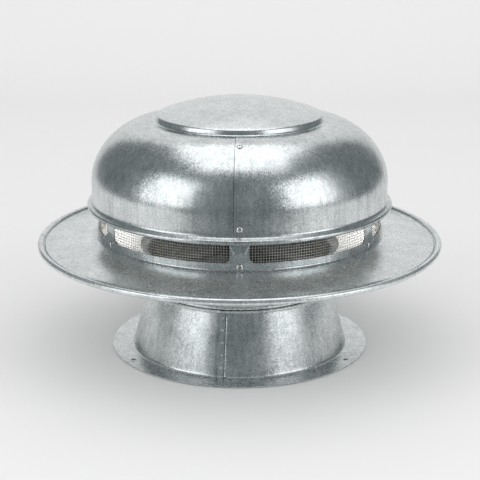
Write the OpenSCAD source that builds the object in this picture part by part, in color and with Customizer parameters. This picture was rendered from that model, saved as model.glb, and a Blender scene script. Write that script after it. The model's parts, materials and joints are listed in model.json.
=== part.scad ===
// Roof head of a solar attic fan: a galvanised neck with a flange, a wide brim, a slotted
// vent ring with wire cloth, a dome, and a small DC fan hung in the throat.
// Millimetres, +Z up. The origin is the centre of the flange's underside.

/* [Sheet metal] */
// Thickness of the galvanised sheet
sheet = 1.2; // [0.8:0.1:1.6]
// Inner radius of the rolls round the edge wires
roll_r = 3.8; // [3.6:0.1:4.2]

/* [Neck and flange] */
// Outer radius of the flange
flange_r = 212.5; // [208:0.5:220]
// Radius of the flange's bolt circle
bolt_circle_r = 198; // [194:1:201]
// Radius of one flange bolt hole
bolt_hole_r = 4; // [3:0.5:5]
// Mid-sheet radius of the neck at its foot
neck_foot_r = 177; // [174:1:180]
// Mid-sheet radius of the neck at its top
neck_top_r = 150.4; // [150.2:0.1:151]
// Height of the neck's top
neck_top_z = 101.2; // [96:0.2:101.6]
// Fillet radius where the neck turns out into the flange
foot_fillet = 5; // [3:0.5:8]

/* [Throat] */
// Mid-sheet radius of the throat tube
throat_r = 148.8; // [148.4:0.1:149]
// Height of the throat tube's lower end
throat_low_z = 84; // [80:1:90]
// Radius of the bell mouth at the top of the throat tube
bell_r = 12; // [8:1:14]
// Height where the bell mouth starts
bell_z = 156; // [154:1:158]

/* [Brim] */
// Radius to the middle of the brim's rolled edge
brim_roll_r = 325; // [315:1:335]
// Height of the middle of the brim's rolled edge
brim_roll_z = 178.7; // [176:0.1:180]
// Height of the brim where it meets the vent ring
brim_top_z = 193; // [191:0.5:194]

/* [Vent ring] */
// Outer radius of the vent ring
ring_r = 232.1; // [231.8:0.1:232.6]
// Height of the lower edge of the slots
slot_low_z = 206.2; // [205.5:0.1:208]
// Height of the upper edge of the slots
slot_high_z = 236.5; // [230:0.5:238]
// Width of a post between two slots
post_w = 28; // [22:1:36]
// Chamfer at the lower corners of a slot
slot_chamfer = 6.5; // [4:0.5:8]
// Number of slots
slots = 6; // [6:6]

/* [Dome] */
// Outer radius of the dome's wall
dome_r = 240; // [239.6:0.1:240.6]
// Height where the dome's wall starts to curve in
shoulder_z = 281; // [276:1:286]
// Height of the dome's flat top
dome_top_z = 376.4; // [374:0.2:379]
// Radius where the shoulder's curve ends
shoulder_inner_r = 144; // [142:1:148]
// Exponent of the shoulder's superellipse
shoulder_n = 1.83; // [1.7:0.01:2.2]

/* [Crown cap] */
// Outer radius of the crown cap
crown_r = 135.4; // [135.2:0.1:135.8]
// Height of the crown cap's edge
crown_edge_z = 385; // [384:0.2:387]
// Height of the crown cap's highest point
apex_z = 411.4; // [405:0.2:418]

/* [Fan and motor] */
// Radius of the fan blades
fan_r = 141; // [130:1:141]
// Number of fan blades
blades = 5; // [3:6]
// Blade pitch in degrees
blade_pitch = 22; // [16:1:26]
// Height of the middle of the fan
fan_z = 127; // [126:1:129]
// Outer radius of the motor
motor_r = 44; // [44:0.5:46]
// Height of the motor's underside
motor_z = 166.5; // [166.5:0.5:168]
// Radius of the shaft
shaft_r = 4; // [4:4]
// Number of arms that hold the motor
arms = 3; // [3:3]

/* [Junction box] */
// Height of the box's middle on the neck's wall
box_z = 52; // [50:1:54]
// Size of the box down the wall
box_l = 60; // [56:1:64]
// Size of the box round the wall
box_w = 48; // [40:1:48]
// Depth of the box without its lid
box_d = 24; // [22:1:26]

/* [Hidden] */
$fn = 96;

half = sheet / 2;
neck_angle = atan((neck_foot_r - neck_top_r) / (neck_top_z - sheet));
roll_mid = roll_r + half;
edge_wire_r = roll_r - 0.2;
floor_outer = [ring_r - 5.8, brim_top_z - 3];
collar_z = 204;
screw_z = 200.4;
screw_hole_r = 2.1;
screw_r = 2;
mesh_in = ring_r - 2.9;
mesh_out = ring_r - 1.4;
hem_z = 243.4;
hem_r = dome_r + 2.7;
hem_mid = 4.6;
tab_z = [137, 160.5];
tab_hole_z = 146;
plate_z = 158;
plate_t = 2.5;
arm_w = 28;
bearing_h = 7;
low_bearing_z = motor_z + 2.5;
top_bearing_z = motor_z + 32;
housing_top_z = motor_z + 41.5;
isolator_ring_r = 35;
disc_t = 1.8;
// Rise of the crown cap and the radius of its sphere
crown_rise = apex_z - crown_edge_z;
crown_sphere = (crown_r * crown_r + crown_rise * crown_rise) / (2 * crown_rise);
// Gap between the neck's wall and the box, the box's wall, and the box's open side
wall_gap = 2.6;
box_wall = 2.2;
box_in = -wall_gap - box_d;

// A point at an angle on a circle, in the plane of a profile
function on_circle(c, r, a) = c + r * [cos(a), sin(a)];
// Points along an arc
function arc(c, r, a0, a1, n) = [for (i = [0:n]) on_circle(c, r, a0 + (a1 - a0) * i / n)];
// Unit normal of a segment
function seg_normal(a, b) = let (d = b - a) [-d[1], d[0]] / norm(d);
// Mitred normal at one point of a path
function path_normal(p, i) =
    let (u = seg_normal(p[max(i - 1, 0)], p[max(i, 1)]))
    let (v = seg_normal(p[min(i, len(p) - 2)], p[min(i + 1, len(p) - 1)]))
    (u + v) / (1 + u * v);
// Keeps a profile on its own side of the axis
function right_side(p) = [for (q = p) [max(q[0], 0), q[1]]];
// Outline of a sheet whose middle follows a path
function strip(p, t) = right_side(concat(
    [for (i = [0:len(p) - 1]) p[i] + path_normal(p, i) * t / 2],
    [for (i = [len(p) - 1:-1:0]) p[i] - path_normal(p, i) * t / 2]));

// Mid-sheet radius of the neck at a height
function neck_r(z) = neck_foot_r - (z - sheet) * tan(neck_angle);
// Point on the dome's shoulder, t from 0 at the wall to 90 at the top
function shoulder(t) = [
    shoulder_inner_r + (dome_r - half - shoulder_inner_r) * pow(cos(t), 2 / shoulder_n),
    shoulder_z + (dome_top_z - half - shoulder_z) * pow(sin(t), 2 / shoulder_n)];

module spin_sheet(path, t = sheet) {
    rotate_extrude($fn = 180) polygon(strip(path, t));
}

// Places children round the axis, every piece of a turn
module around(n, first = 0) {
    for (i = [0:n - 1]) rotate([0, 0, first + i * 360 / n]) children();
}

// Places children on a cylinder, with their +Z pointing outwards
module outwards(r, z) {
    translate([r, 0, z]) rotate([0, 90, 0]) children();
}

// Places children on the back of the neck's wall: +Z outwards, +X down the wall
module on_neck(z) {
    rotate([0, 0, 90]) translate([neck_r(z), 0, z]) rotate([0, 90 - neck_angle, 0]) children();
}

// Radial holes for the screws that hold the vent ring
module ring_screw_holes() {
    around(slots, 30) outwards(ring_r - 12, screw_z) cylinder(h = 24, r = screw_hole_r);
}

// Radial holes for the rivets that hold the bracket's tabs
module tab_rivet_holes() {
    around(arms, 90) for (side = [-1, 1])
        rotate([0, 0, side * 3]) outwards(throat_r - 6, tab_hole_z) cylinder(h = 12, r = 2.5);
}

// Holes through the neck's back for the gland and the two box screws
module neck_back_holes() {
    on_neck(box_z) {
        translate([0, 0, -6]) cylinder(h = 12, r = 8);
        for (x = [-22, 22]) translate([x, 0, -6]) cylinder(h = 12, r = 2.1);
    }
}

// ---------- Outer shell ----------

module neck() {
    fillet_mid = foot_fillet + half;
    fillet_z = sheet + foot_fillet;
    fillet_c = [neck_r(fillet_z) + fillet_mid / cos(neck_angle), fillet_z];
    top_c = [neck_top_r + 1.6, neck_top_z];
    path = concat(
        [[flange_r, half]],
        arc(fillet_c, fillet_mid, 270, 180 + neck_angle, 6),
        arc(top_c, 1.6, 180, -40, 8));
    color("silver") difference() {
        spin_sheet(path);
        around(6, 30) translate([bolt_circle_r, 0, -1]) cylinder(h = 4, r = bolt_hole_r);
        neck_back_holes();
    }
}

module throat_plate() {
    bead_c = [throat_r + 0.4, 106.2];
    slope = atan((floor_outer[1] - bell_z - bell_r) / (floor_outer[0] - throat_r - bell_r));
    bell_c = [throat_r + bell_r, bell_z];
    path = concat(
        [[throat_r, throat_low_z]],
        [[throat_r, bead_c[1] - 3.2]],
        arc(bead_c, 2.4, -70, 70, 6),
        [[throat_r, bead_c[1] + 3.2]],
        arc(bell_c, bell_r, 180, 90 + slope, 8),
        [floor_outer],
        [[floor_outer[0] + 0.6, collar_z]]);
    color("gainsboro") difference() {
        spin_sheet(path);
        ring_screw_holes();
        tab_rivet_holes();
    }
}

module brim() {
    inner_r = ring_r - 3.8;
    roll_c = [brim_roll_r, brim_roll_z];
    ridge_r = brim_roll_r - 9;
    path = concat(
        [[inner_r, collar_z], [inner_r, brim_top_z]],
        [[ridge_r - 2.5, brim_roll_z - 0.5]],
        arc([ridge_r, brim_roll_z - 1], 1.8, 150, 30, 4),
        [[ridge_r + 2.8, brim_roll_z - 2.2]],
        arc(roll_c, roll_mid, 200, -110, 20));
    color("silver") difference() {
        spin_sheet(path);
        ring_screw_holes();
    }
}

module brim_edge_wire() {
    color("darkgray") rotate_extrude($fn = 180)
        translate([brim_roll_r, brim_roll_z]) circle(r = edge_wire_r, $fn = 32);
}

// Outline of one slot, flat
module slot_outline() {
    w = 2 * ring_r * sin(180 / slots - asin(post_w / 2 / ring_r));
    polygon([
        [-w / 2 + slot_chamfer, slot_low_z],
        [w / 2 - slot_chamfer, slot_low_z],
        [w / 2, slot_low_z + slot_chamfer],
        [w / 2, slot_high_z - 3],
        [w / 2 - 3, slot_high_z],
        [-w / 2 + 3, slot_high_z],
        [-w / 2, slot_high_z - 3],
        [-w / 2, slot_low_z + slot_chamfer]]);
}

// Form pressed out of a post: its lower face leans out to an edge at mid-height
module post_emboss() {
    low = slot_low_z + 0.4;
    edge = low + 14.3;
    high = slot_high_z + 2;
    hull() {
        outwards(ring_r - 1.3, 0) linear_extrude(height = 0.3)
            polygon([[-low, -18.8], [-low, 18.8], [-high, 10], [-high, -10]]);
        outwards(ring_r + 2, 0) translate([-edge - 0.4, -6, 0]) cube([0.8, 12, 0.4]);
    }
}

module vent_ring() {
    mid = ring_r - half;
    top_r = dome_r - sheet - half - 0.2;
    path = [
        [mid + 3.5, brim_top_z + 0.4], [mid + 1.3, brim_top_z + 1.2], [mid + 0.3, brim_top_z + 2.4],
        [mid, brim_top_z + 4], [mid, slot_high_z + 8], [top_r, slot_high_z + 18],
        [top_r, slot_high_z + 31]];
    color("silver") difference() {
        union() {
            spin_sheet(path);
            around(slots, 30) post_emboss();
        }
        around(slots, 0) rotate([90, 0, 90]) linear_extrude(height = 260) slot_outline();
        ring_screw_holes();
        dome_rivet_holes();
    }
}

// Pan head screw, its head's underside at z = 0 and its shank pointing down
module pan_screw(head_r, head_h, shank_r, shank_l) {
    difference() {
        union() {
            cylinder(h = head_h * 0.5, r = head_r);
            translate([0, 0, head_h * 0.5]) cylinder(h = head_h * 0.5, r1 = head_r, r2 = head_r * 0.7);
        }
        for (a = [0, 90]) rotate([0, 0, a]) translate([-head_r * 0.55, -0.6, head_h * 0.4])
            cube([head_r * 1.1, 1.2, head_h]);
    }
    translate([0, 0, -shank_l]) cylinder(h = shank_l, r = shank_r);
}

module ring_screws() {
    color("lightgray") around(slots, 30) outwards(ring_r + 0.1, screw_z) pan_screw(4.8, 3, screw_r, 13);
}

module mesh_screen() {
    color("dimgray") difference() {
        rotate_extrude($fn = 180) translate([mesh_in, collar_z - 9]) square([mesh_out - mesh_in, 47]);
        ring_screw_holes();
    }
}

module dome() {
    hem_c = [hem_r, hem_z];
    lip_r = crown_r - 2;
    path = concat(
        arc(hem_c, hem_mid, -120, 110, 18),
        [[dome_r - half, hem_z + 6.8]],
        [for (i = [0:24]) shoulder(i * 90 / 24)],
        [[lip_r, dome_top_z - half], [lip_r, crown_edge_z - 3]]);
    color("silver") difference() {
        spin_sheet(path);
        dome_rivet_holes();
    }
}

module dome_hem_wire() {
    color("darkgray") rotate_extrude($fn = 180)
        translate([hem_r, hem_z]) circle(r = hem_mid - half - 0.2, $fn = 32);
}

// Places children on the dome's lap seam, with their +Z pointing out of the sheet
module dome_rivet_places() {
    t = 68;
    p = shoulder(t);
    q = shoulder(t + 1);
    tilt = atan2(p[0] - q[0], q[1] - p[1]);
    rotate([0, 0, -90]) {
        translate([p[0], 0, p[1]]) rotate([0, 90 - tilt, 0]) children();
        outwards(dome_r - half, hem_z + 16.8) children();
    }
}

module dome_rivet_holes() {
    dome_rivet_places() translate([0, 0, -4]) cylinder(h = 8, r = 2.5);
}

// Blind rivet through a sheet whose middle is at z = 0
module rivet(head_r, head_h, shank_r, depth) {
    translate([0, 0, half + 0.05]) cylinder(h = head_h * 0.4, r = head_r);
    translate([0, 0, half + 0.05 + head_h * 0.4])
        cylinder(h = head_h * 0.6, r1 = head_r, r2 = head_r * 0.5);
    translate([0, 0, -half - depth]) cylinder(h = depth + sheet + 0.05, r = shank_r);
    translate([0, 0, -half - depth - 1.5]) cylinder(h = 1.5, r = shank_r + 1);
}

module dome_rivets() {
    color("lightgray") dome_rivet_places() rivet(4.7, 2, 2.4, 1.6);
}

module crown_cap() {
    rim_mid = crown_r - half;
    cap_c = [0, apex_z - half - crown_sphere];
    edge_a = acos((rim_mid - 1.6) / crown_sphere);
    path = concat(
        [[rim_mid, dome_top_z + 0.4], [rim_mid, crown_edge_z - 2.6]],
        arc([rim_mid - 1.6, crown_edge_z - 2.2], 1.6, 15, 60, 3),
        arc(cap_c, crown_sphere, edge_a, 90, 20));
    color("silver") spin_sheet(path);
}

// ---------- Motor and its mounting ----------

module motor_bracket() {
    wall_r = throat_r - half - 0.1;
    color("dimgray") difference() {
        union() {
            intersection() {
                translate([0, 0, plate_z]) linear_extrude(height = plate_t) {
                    circle(r = 48);
                    around(arms, 90) translate([0, -arm_w / 2]) square([wall_r + 1, arm_w]);
                }
                translate([0, 0, plate_z - 1]) cylinder(h = 6, r = wall_r, $fn = 180);
            }
            intersection() {
                translate([0, 0, tab_z[0]]) difference() {
                    cylinder(h = tab_z[1] - tab_z[0], r = wall_r, $fn = 180);
                    translate([0, 0, -1]) cylinder(h = 30, r = wall_r - 2, $fn = 180);
                }
                around(arms, 90) translate([0, -arm_w / 2, tab_z[0] - 1]) cube([wall_r + 1, arm_w, 30]);
            }
        }
        translate([0, 0, plate_z - 1]) cylinder(h = 6, r = 15);
        around(3, 30) translate([isolator_ring_r, 0, plate_z - 1]) cylinder(h = 6, r = 2.2);
        translate([-5, 104, plate_z - 1]) cylinder(h = 6, r = 1.7);
        tab_rivet_holes();
    }
}

module bracket_rivets() {
    color("lightgray") around(arms, 90) for (side = [-1, 1])
        rotate([0, 0, side * 3]) outwards(throat_r, tab_hole_z) rivet(4, 1.8, 2.4, 2.2);
}

module isolators() {
    color("black") around(3, 30) translate([isolator_ring_r, 0, plate_z + plate_t]) difference() {
        cylinder(h = motor_z - plate_z - plate_t, r = 7);
        translate([0, 0, -1]) cylinder(h = 10, r = 2.2);
    }
}

module motor_screws() {
    color("lightgray") around(3, 30) translate([isolator_ring_r, 0, plate_z]) rotate([180, 0, 0])
        pan_screw(3.8, 2.8, 2, 11.8);
}

module motor_base() {
    color("dimgray") difference() {
        union() {
            translate([0, 0, motor_z]) cylinder(h = 4, r = motor_r);
            translate([0, 0, motor_z]) cylinder(h = 10, r = 14);
        }
        translate([0, 0, motor_z - 1]) cylinder(h = 12, r = 9);
        translate([0, 0, low_bearing_z]) cylinder(h = 12, r = 11);
        around(3, 30) translate([isolator_ring_r, 0, motor_z - 1]) cylinder(h = 6, r = 2.1);
    }
}

module motor_housing() {
    wall = 2.4;
    low = motor_z + 4;
    color("#303336") difference() {
        union() {
            difference() {
                translate([0, 0, low]) cylinder(h = housing_top_z - low, r = motor_r);
                translate([0, 0, low - 1]) cylinder(h = housing_top_z - low + 1 - wall, r = motor_r - wall);
            }
            translate([0, 0, top_bearing_z - 1]) cylinder(h = housing_top_z - top_bearing_z, r = 14);
        }
        translate([0, 0, top_bearing_z - 2]) cylinder(h = bearing_h + 2, r = 11);
        rotate([0, 0, 81]) outwards(motor_r - 6, motor_z + 8) cylinder(h = 12, r = 2.4);
    }
}

module stator_core() {
    low = motor_z + 13.5;
    stack = 14;
    color("slategray") translate([0, 0, low]) linear_extrude(height = stack) {
        difference() {
            circle(r = motor_r - 2.5);
            circle(r = motor_r - 7.5);
        }
        around(9) translate([26, -3.5]) square([motor_r - 33, 7]);
    }
}

module stator_windings() {
    low = motor_z + 9;
    color("peru") around(9) difference() {
        translate([28, -7.5, low]) cube([7.4, 15, 23]);
        translate([27, -3.6, motor_z + 13.4]) cube([10, 7.2, 14.2]);
    }
}

// Track that the balls run in
module ball_track(z) {
    translate([0, 0, z + bearing_h / 2]) rotate_extrude() translate([7.5, 0]) circle(r = 2.05, $fn = 32);
}

module race(z, r_in, r_out) {
    difference() {
        translate([0, 0, z]) cylinder(h = bearing_h, r = r_out);
        translate([0, 0, z - 1]) cylinder(h = bearing_h + 2, r = r_in);
        ball_track(z);
    }
}

module bearing_outer_races() {
    color("lightsteelblue") for (z = [low_bearing_z, top_bearing_z]) race(z, 8.8, 11);
}

module bearing_inner_races() {
    color("lightsteelblue") for (z = [low_bearing_z, top_bearing_z]) race(z, shaft_r, 6.2);
}

module bearing_balls() {
    color("white") for (z = [low_bearing_z, top_bearing_z])
        around(7) translate([7.5, 0, z + bearing_h / 2]) sphere(r = 1.98, $fn = 32);
}

module thermal_switch() {
    color("tan") translate([-5, 104, plate_z + plate_t]) {
        cylinder(h = 2, r = 7.6);
        cylinder(h = 8, r = 6.2);
        for (x = [-3.2, 3.2]) translate([x - 0.4, -2, 7]) cube([0.8, 4, 5]);
        translate([0, 0, -4]) cylinder(h = 5, r = 1.6);
    }
}

// ---------- Junction box on the back of the neck's inside ----------

module junction_box() {
    color("#2b2d30") on_neck(box_z) difference() {
        union() {
            difference() {
                translate([-box_l / 2, -box_w / 2, box_in]) cube([box_l, box_w, box_d]);
                translate([-box_l / 2 + box_wall, -box_w / 2 + box_wall, box_in - 1])
                    cube([box_l - 2 * box_wall, box_w - 2 * box_wall, box_d - box_wall + 1]);
            }
            for (x = [-1, 1], y = [-1, 1])
                translate([x * (box_l / 2 - 4), y * (box_w / 2 - 4), box_in]) cylinder(h = box_d, r = 3.6);
            for (x = [-22, 22]) translate([x, 0, -12]) cylinder(h = 12 - wall_gap, r = 4.2);
        }
        for (x = [-1, 1], y = [-1, 1])
            translate([x * (box_l / 2 - 4), y * (box_w / 2 - 4), box_in - 1]) cylinder(h = 12, r = 1.3);
        for (x = [-22, 22]) translate([x, 0, -11]) cylinder(h = 12, r = 1.8);
        translate([0, 0, -8]) cylinder(h = 10, r = 8);
        for (y = [-8, 8]) translate([-box_l / 2 - 1, y, -14]) rotate([0, 90, 0]) cylinder(h = 5, r = 4);
    }
}

module box_lid() {
    color("#26282b") on_neck(box_z) difference() {
        translate([-box_l / 2, -box_w / 2, box_in - box_wall - 0.1]) cube([box_l, box_w, box_wall]);
        for (x = [-1, 1], y = [-1, 1])
            translate([x * (box_l / 2 - 4), y * (box_w / 2 - 4), box_in - 4]) cylinder(h = 6, r = 1.6);
    }
}

module lid_screws() {
    color("lightgray") on_neck(box_z) for (x = [-1, 1], y = [-1, 1])
        translate([x * (box_l / 2 - 4), y * (box_w / 2 - 4), box_in - box_wall - 0.2]) rotate([180, 0, 0])
            pan_screw(2.8, 2, 1.2, 10);
}

module box_screws() {
    color("lightgray") on_neck(box_z) for (x = [-22, 22])
        translate([x, 0, half + 0.1]) pan_screw(4, 2.6, 1.7, 10);
}

module control_board() {
    color("seagreen") on_neck(box_z) translate([0, 0, -21.5]) {
        translate([-22, -14.5, 0]) cube([44, 29, 1.6]);
        translate([-14, -6, -3.4]) cylinder(h = 3.5, r = 3.6);
        translate([-3, -12, -1.8]) cube([9, 9, 1.9]);
        translate([9, -12, -2.4]) cube([6, 7, 2.5]);
        for (x = [-19.5, 19.5], y = [-12, 12]) translate([x, y, 1.5]) cylinder(h = 7.4, r = 1.5);
    }
}

module terminal_block() {
    color("forestgreen") on_neck(box_z) translate([-6, 5, -24.9]) difference() {
        cube([22, 8, 3.3]);
        for (i = [0:3]) translate([3 + i * 5.3, 4, -1]) cylinder(h = 3, r = 1.6);
    }
}

module box_grommets() {
    color("black") on_neck(box_z) for (y = [-8, 8])
        translate([-box_l / 2, y, -14]) rotate([0, 90, 0]) difference() {
        union() {
            translate([0, 0, -1.6]) cylinder(h = 1.6, r = 5.6);
            translate([0, 0, -1]) cylinder(h = 4.2, r = 3.9);
        }
        translate([0, 0, -3]) cylinder(h = 8, r = 2.4);
    }
}

module cable_gland() {
    color("#1f2123") on_neck(box_z) difference() {
        union() {
            translate([0, 0, half + 0.1]) cylinder(h = 5.6, r = 12.5, $fn = 6);
            translate([0, 0, 6]) cylinder(h = 8, r = 8.4);
            translate([0, 0, -9.6]) cylinder(h = 12, r = 7.9);
        }
        translate([0, 0, -12]) cylinder(h = 30, r = 4.6);
        translate([0, 0, 2]) cylinder(h = 14, r = 6.2);
    }
}

module gland_insert() {
    color("dimgray") on_neck(box_z) difference() {
        translate([0, 0, 2.1]) cylinder(h = 13.4, r = 6.1);
        translate([0, 0, 0]) cylinder(h = 20, r = 3);
    }
}

module gland_cap() {
    color("#1f2123") on_neck(box_z) difference() {
        union() {
            translate([0, 0, 6.6]) cylinder(h = 8, r = 11.6, $fn = 6);
            translate([0, 0, 14.6]) cylinder(h = 4.4, r1 = 9.6, r2 = 7.4);
        }
        translate([0, 0, 6]) cylinder(h = 9.6, r = 8.5);
        translate([0, 0, 6]) cylinder(h = 16, r = 4.4);
    }
}

module gland_washer() {
    color("black") on_neck(box_z) difference() {
        translate([0, 0, -wall_gap]) cylinder(h = 1.5, r = 11);
        translate([0, 0, -6]) cylinder(h = 8, r = 8);
    }
}

module gland_locknut() {
    color("#1f2123") on_neck(box_z) difference() {
        translate([0, 0, -wall_gap - box_wall - 4.1]) cylinder(h = 4, r = 11.6, $fn = 6);
        translate([0, 0, -12]) cylinder(h = 12, r = 7.95);
    }
}

// ---------- Leads, clipped all the way from the motor and the switch to the box ----------

motor_lead_route = [
    [6.4, 40, 174.5], [7, 47, 174.5], [7.2, 53, 172.5], [7, 58, 168], [7, 64, 164.4], [7, 72, 163.2],
    [7, 90, 163.2], [7, 112, 163.2], [8.5, 126, 163.4], [12, 136, 164.4], [16, 142.6, 163.4],
    [18.6, 144.4, 159.5], [19, 144.4, 152], [19, 144.4, 130], [19, 144.4, 108], [18, 144, 98],
    [14, 142.6, 90.5], [9.6, 141.6, 86], [8, 141.4, 82], [8, 142, 78.5], [8, 143.4, 73]];
switch_lead_route = [
    [-8.2, 104, 173.4], [-8.2, 108, 175], [-8.4, 114, 173], [-9, 120, 167.5], [-10, 127, 163.6],
    [-13, 136, 163.4], [-16.4, 142.8, 162.6], [-18.6, 144.9, 158.6], [-19, 145, 152],
    [-19, 145, 130], [-19, 145, 108], [-18, 144.4, 98], [-14, 142.6, 90.5], [-9.6, 141.6, 86],
    [-8, 141.4, 82], [-8, 142, 78.5], [-8, 143.4, 73]];

function unit(v) = v / norm(v);
// Direction of a route at one of its points
function heading(p, i) = unit(p[min(i + 1, len(p) - 1)] - p[max(i - 1, 0)]);
// One ring of points round a route
function lead_ring(p, i, r, sides) =
    let (d = heading(p, i))
    let (ref = abs(d[0]) < 0.8 ? [1, 0, 0] : [0, 1, 0])
    let (u = unit(cross(d, ref)))
    let (v = cross(d, u))
    [for (k = [0:sides - 1]) p[i] + r * (cos(360 * k / sides) * u + sin(360 * k / sides) * v)];

// Round lead along a route
module lead(p, r, sides = 8) {
    last = (len(p) - 1) * sides;
    polyhedron(
        points = [for (i = [0:len(p) - 1]) each lead_ring(p, i, r, sides)],
        faces = concat(
            [[for (k = [0:sides - 1]) k]],
            [for (i = [0:len(p) - 2]) for (k = [0:sides - 1])
                [i * sides + k, (i + 1) * sides + k, (i + 1) * sides + (k + 1) % sides]],
            [for (i = [0:len(p) - 2]) for (k = [0:sides - 1])
                [i * sides + k, (i + 1) * sides + (k + 1) % sides, i * sides + (k + 1) % sides]],
            [[for (k = [sides - 1:-1:0]) last + k]]));
}

module motor_lead() {
    color("#151515") lead(motor_lead_route, 2.1);
}

module switch_lead() {
    color("firebrick") lead(switch_lead_route, 1.4);
}

module lead_clips() {
    color("white") {
        translate([7, 84, plate_z + plate_t + 0.1]) difference() {
            translate([-4, -3.5, 0]) cube([8, 7, 6]);
            translate([0, 6, 2.6]) rotate([90, 0, 0]) cylinder(h = 12, r = 2.3);
        }
        for (z = [112, 148]) intersection() {
            translate([0, 0, z]) difference() {
                cylinder(h = 6, r = throat_r - half - 0.1);
                translate([0, 0, -1]) cylinder(h = 8, r = 142.6);
                translate([19, 144.4, -1]) cylinder(h = 8, r = 2.3);
                translate([-19, 145, -1]) cylinder(h = 8, r = 1.6);
            }
            for (x = [-19, 19]) translate([x - 3.8, 130, z - 1]) cube([7.6, 30, 8]);
        }
    }
}

// ---------- Rotor ----------

module motor_shaft() {
    low = fan_z - 9;
    color("lightsteelblue") difference() {
        translate([0, 0, low]) cylinder(h = top_bearing_z + bearing_h - low, r = shaft_r);
        translate([0, 0, motor_z - 1.5]) difference() {
            cylinder(h = 1.2, r = shaft_r + 2);
            translate([0, 0, -1]) cylinder(h = 4, r = shaft_r - 0.5);
        }
    }
}

module shaft_clip() {
    color("gray") translate([0, 0, motor_z - 1.45]) difference() {
        cylinder(h = 1.1, r = 7);
        translate([0, 0, -1]) cylinder(h = 4, r = shaft_r - 0.45);
        translate([0, -2, -1]) cube([10, 4, 4]);
    }
}

module rotor_core() {
    color("slategray") translate([0, 0, motor_z + 14]) difference() {
        cylinder(h = 13, r = 20);
        translate([0, 0, -1]) cylinder(h = 15, r = shaft_r);
    }
}

module rotor_magnets() {
    color("#404448") translate([0, 0, motor_z + 14]) difference() {
        cylinder(h = 13, r = 24.4);
        translate([0, 0, -1]) cylinder(h = 15, r = 20);
        around(8) translate([15, -0.6, -1]) cube([12, 1.2, 15]);
    }
}

module fan_hub() {
    color("gray") translate([0, 0, fan_z + disc_t / 2]) difference() {
        union() {
            cylinder(h = 3, r = 24);
            cylinder(h = 21, r = 12);
        }
        translate([0, 0, -1]) cylinder(h = 24, r = shaft_r);
        around(4, 45) translate([18, 0, -1]) cylinder(h = 6, r = 1.65);
        rotate([0, 90, 0]) translate([-13, 0, 0]) cylinder(h = 14, r = 2);
    }
}

// One cambered blade, its root at the axis and its tip along +X
module blade() {
    camber_r = 180;
    rotate([blade_pitch, 0, 0]) intersection() {
        translate([0, 0, -30]) linear_extrude(height = 60) intersection() {
            translate([100, -50]) circle(r = 95);
            translate([100, 50]) circle(r = 95);
        }
        translate([10, 0, disc_t / 2 - camber_r]) rotate([0, 90, 0]) difference() {
            cylinder(h = 140, r = camber_r, $fn = 180);
            translate([0, 0, -1]) cylinder(h = 142, r = camber_r - disc_t, $fn = 180);
        }
    }
}

module fan_blades() {
    color("#2f3234") translate([0, 0, fan_z]) difference() {
        intersection() {
            union() {
                around(blades, 18) blade();
                translate([0, 0, -disc_t / 2]) cylinder(h = disc_t, r = 40);
            }
            translate([0, 0, -30]) cylinder(h = 60, r = fan_r, $fn = 180);
        }
        translate([0, 0, -30]) cylinder(h = 60, r = shaft_r + 0.3);
        translate([0, 0, disc_t / 2]) cylinder(h = 30, r = 26);
        around(4, 45) translate([18, 0, -3]) cylinder(h = 6, r = 1.65);
    }
}

module blade_rivets() {
    color("lightgray") around(4, 45) translate([18, 0, fan_z]) {
        translate([0, 0, -disc_t / 2 - 0.4]) cylinder(h = disc_t + 4, r = 1.6);
        translate([0, 0, disc_t / 2 + 3.05]) cylinder(h = 1.4, r1 = 3, r2 = 1.8);
        translate([0, 0, -disc_t / 2 - 1.45]) cylinder(h = 1.4, r1 = 1.8, r2 = 3);
    }
}

module hub_set_screw() {
    color("black") translate([0, 0, fan_z + disc_t / 2 + 13]) rotate([0, 90, 0]) difference() {
        translate([0, 0, shaft_r + 0.05]) cylinder(h = 8.4, r = 1.95);
        translate([0, 0, shaft_r + 6]) cylinder(h = 4, r = 1.1, $fn = 6);
    }
}

neck();
throat_plate();
brim();
brim_edge_wire();
vent_ring();
ring_screws();
mesh_screen();
dome();
dome_hem_wire();
dome_rivets();
crown_cap();
motor_bracket();
bracket_rivets();
isolators();
motor_screws();
motor_base();
motor_housing();
stator_core();
stator_windings();
bearing_outer_races();
thermal_switch();
junction_box();
box_lid();
box_screws();
lid_screws();
control_board();
terminal_block();
box_grommets();
cable_gland();
gland_cap();
gland_insert();
gland_washer();
gland_locknut();
motor_lead();
switch_lead();
lead_clips();
motor_shaft();
shaft_clip();
rotor_core();
rotor_magnets();
bearing_inner_races();
bearing_balls();
fan_hub();
fan_blades();
blade_rivets();
hub_set_screw();
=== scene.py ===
"""Looks of a solar attic fan's roof head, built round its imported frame.

The sheet metal is spun again with fine profiles, lap seams and small dents, the wire cloth is woven,
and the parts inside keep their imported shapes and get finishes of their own. Metres, +Z up, -Y the front.
"""
import json
import logging
import math
from collections.abc import Callable, Iterable, Sequence
from dataclasses import dataclass
from enum import Enum

import bmesh
import bpy
from mathutils import Matrix, Vector, noise


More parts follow.
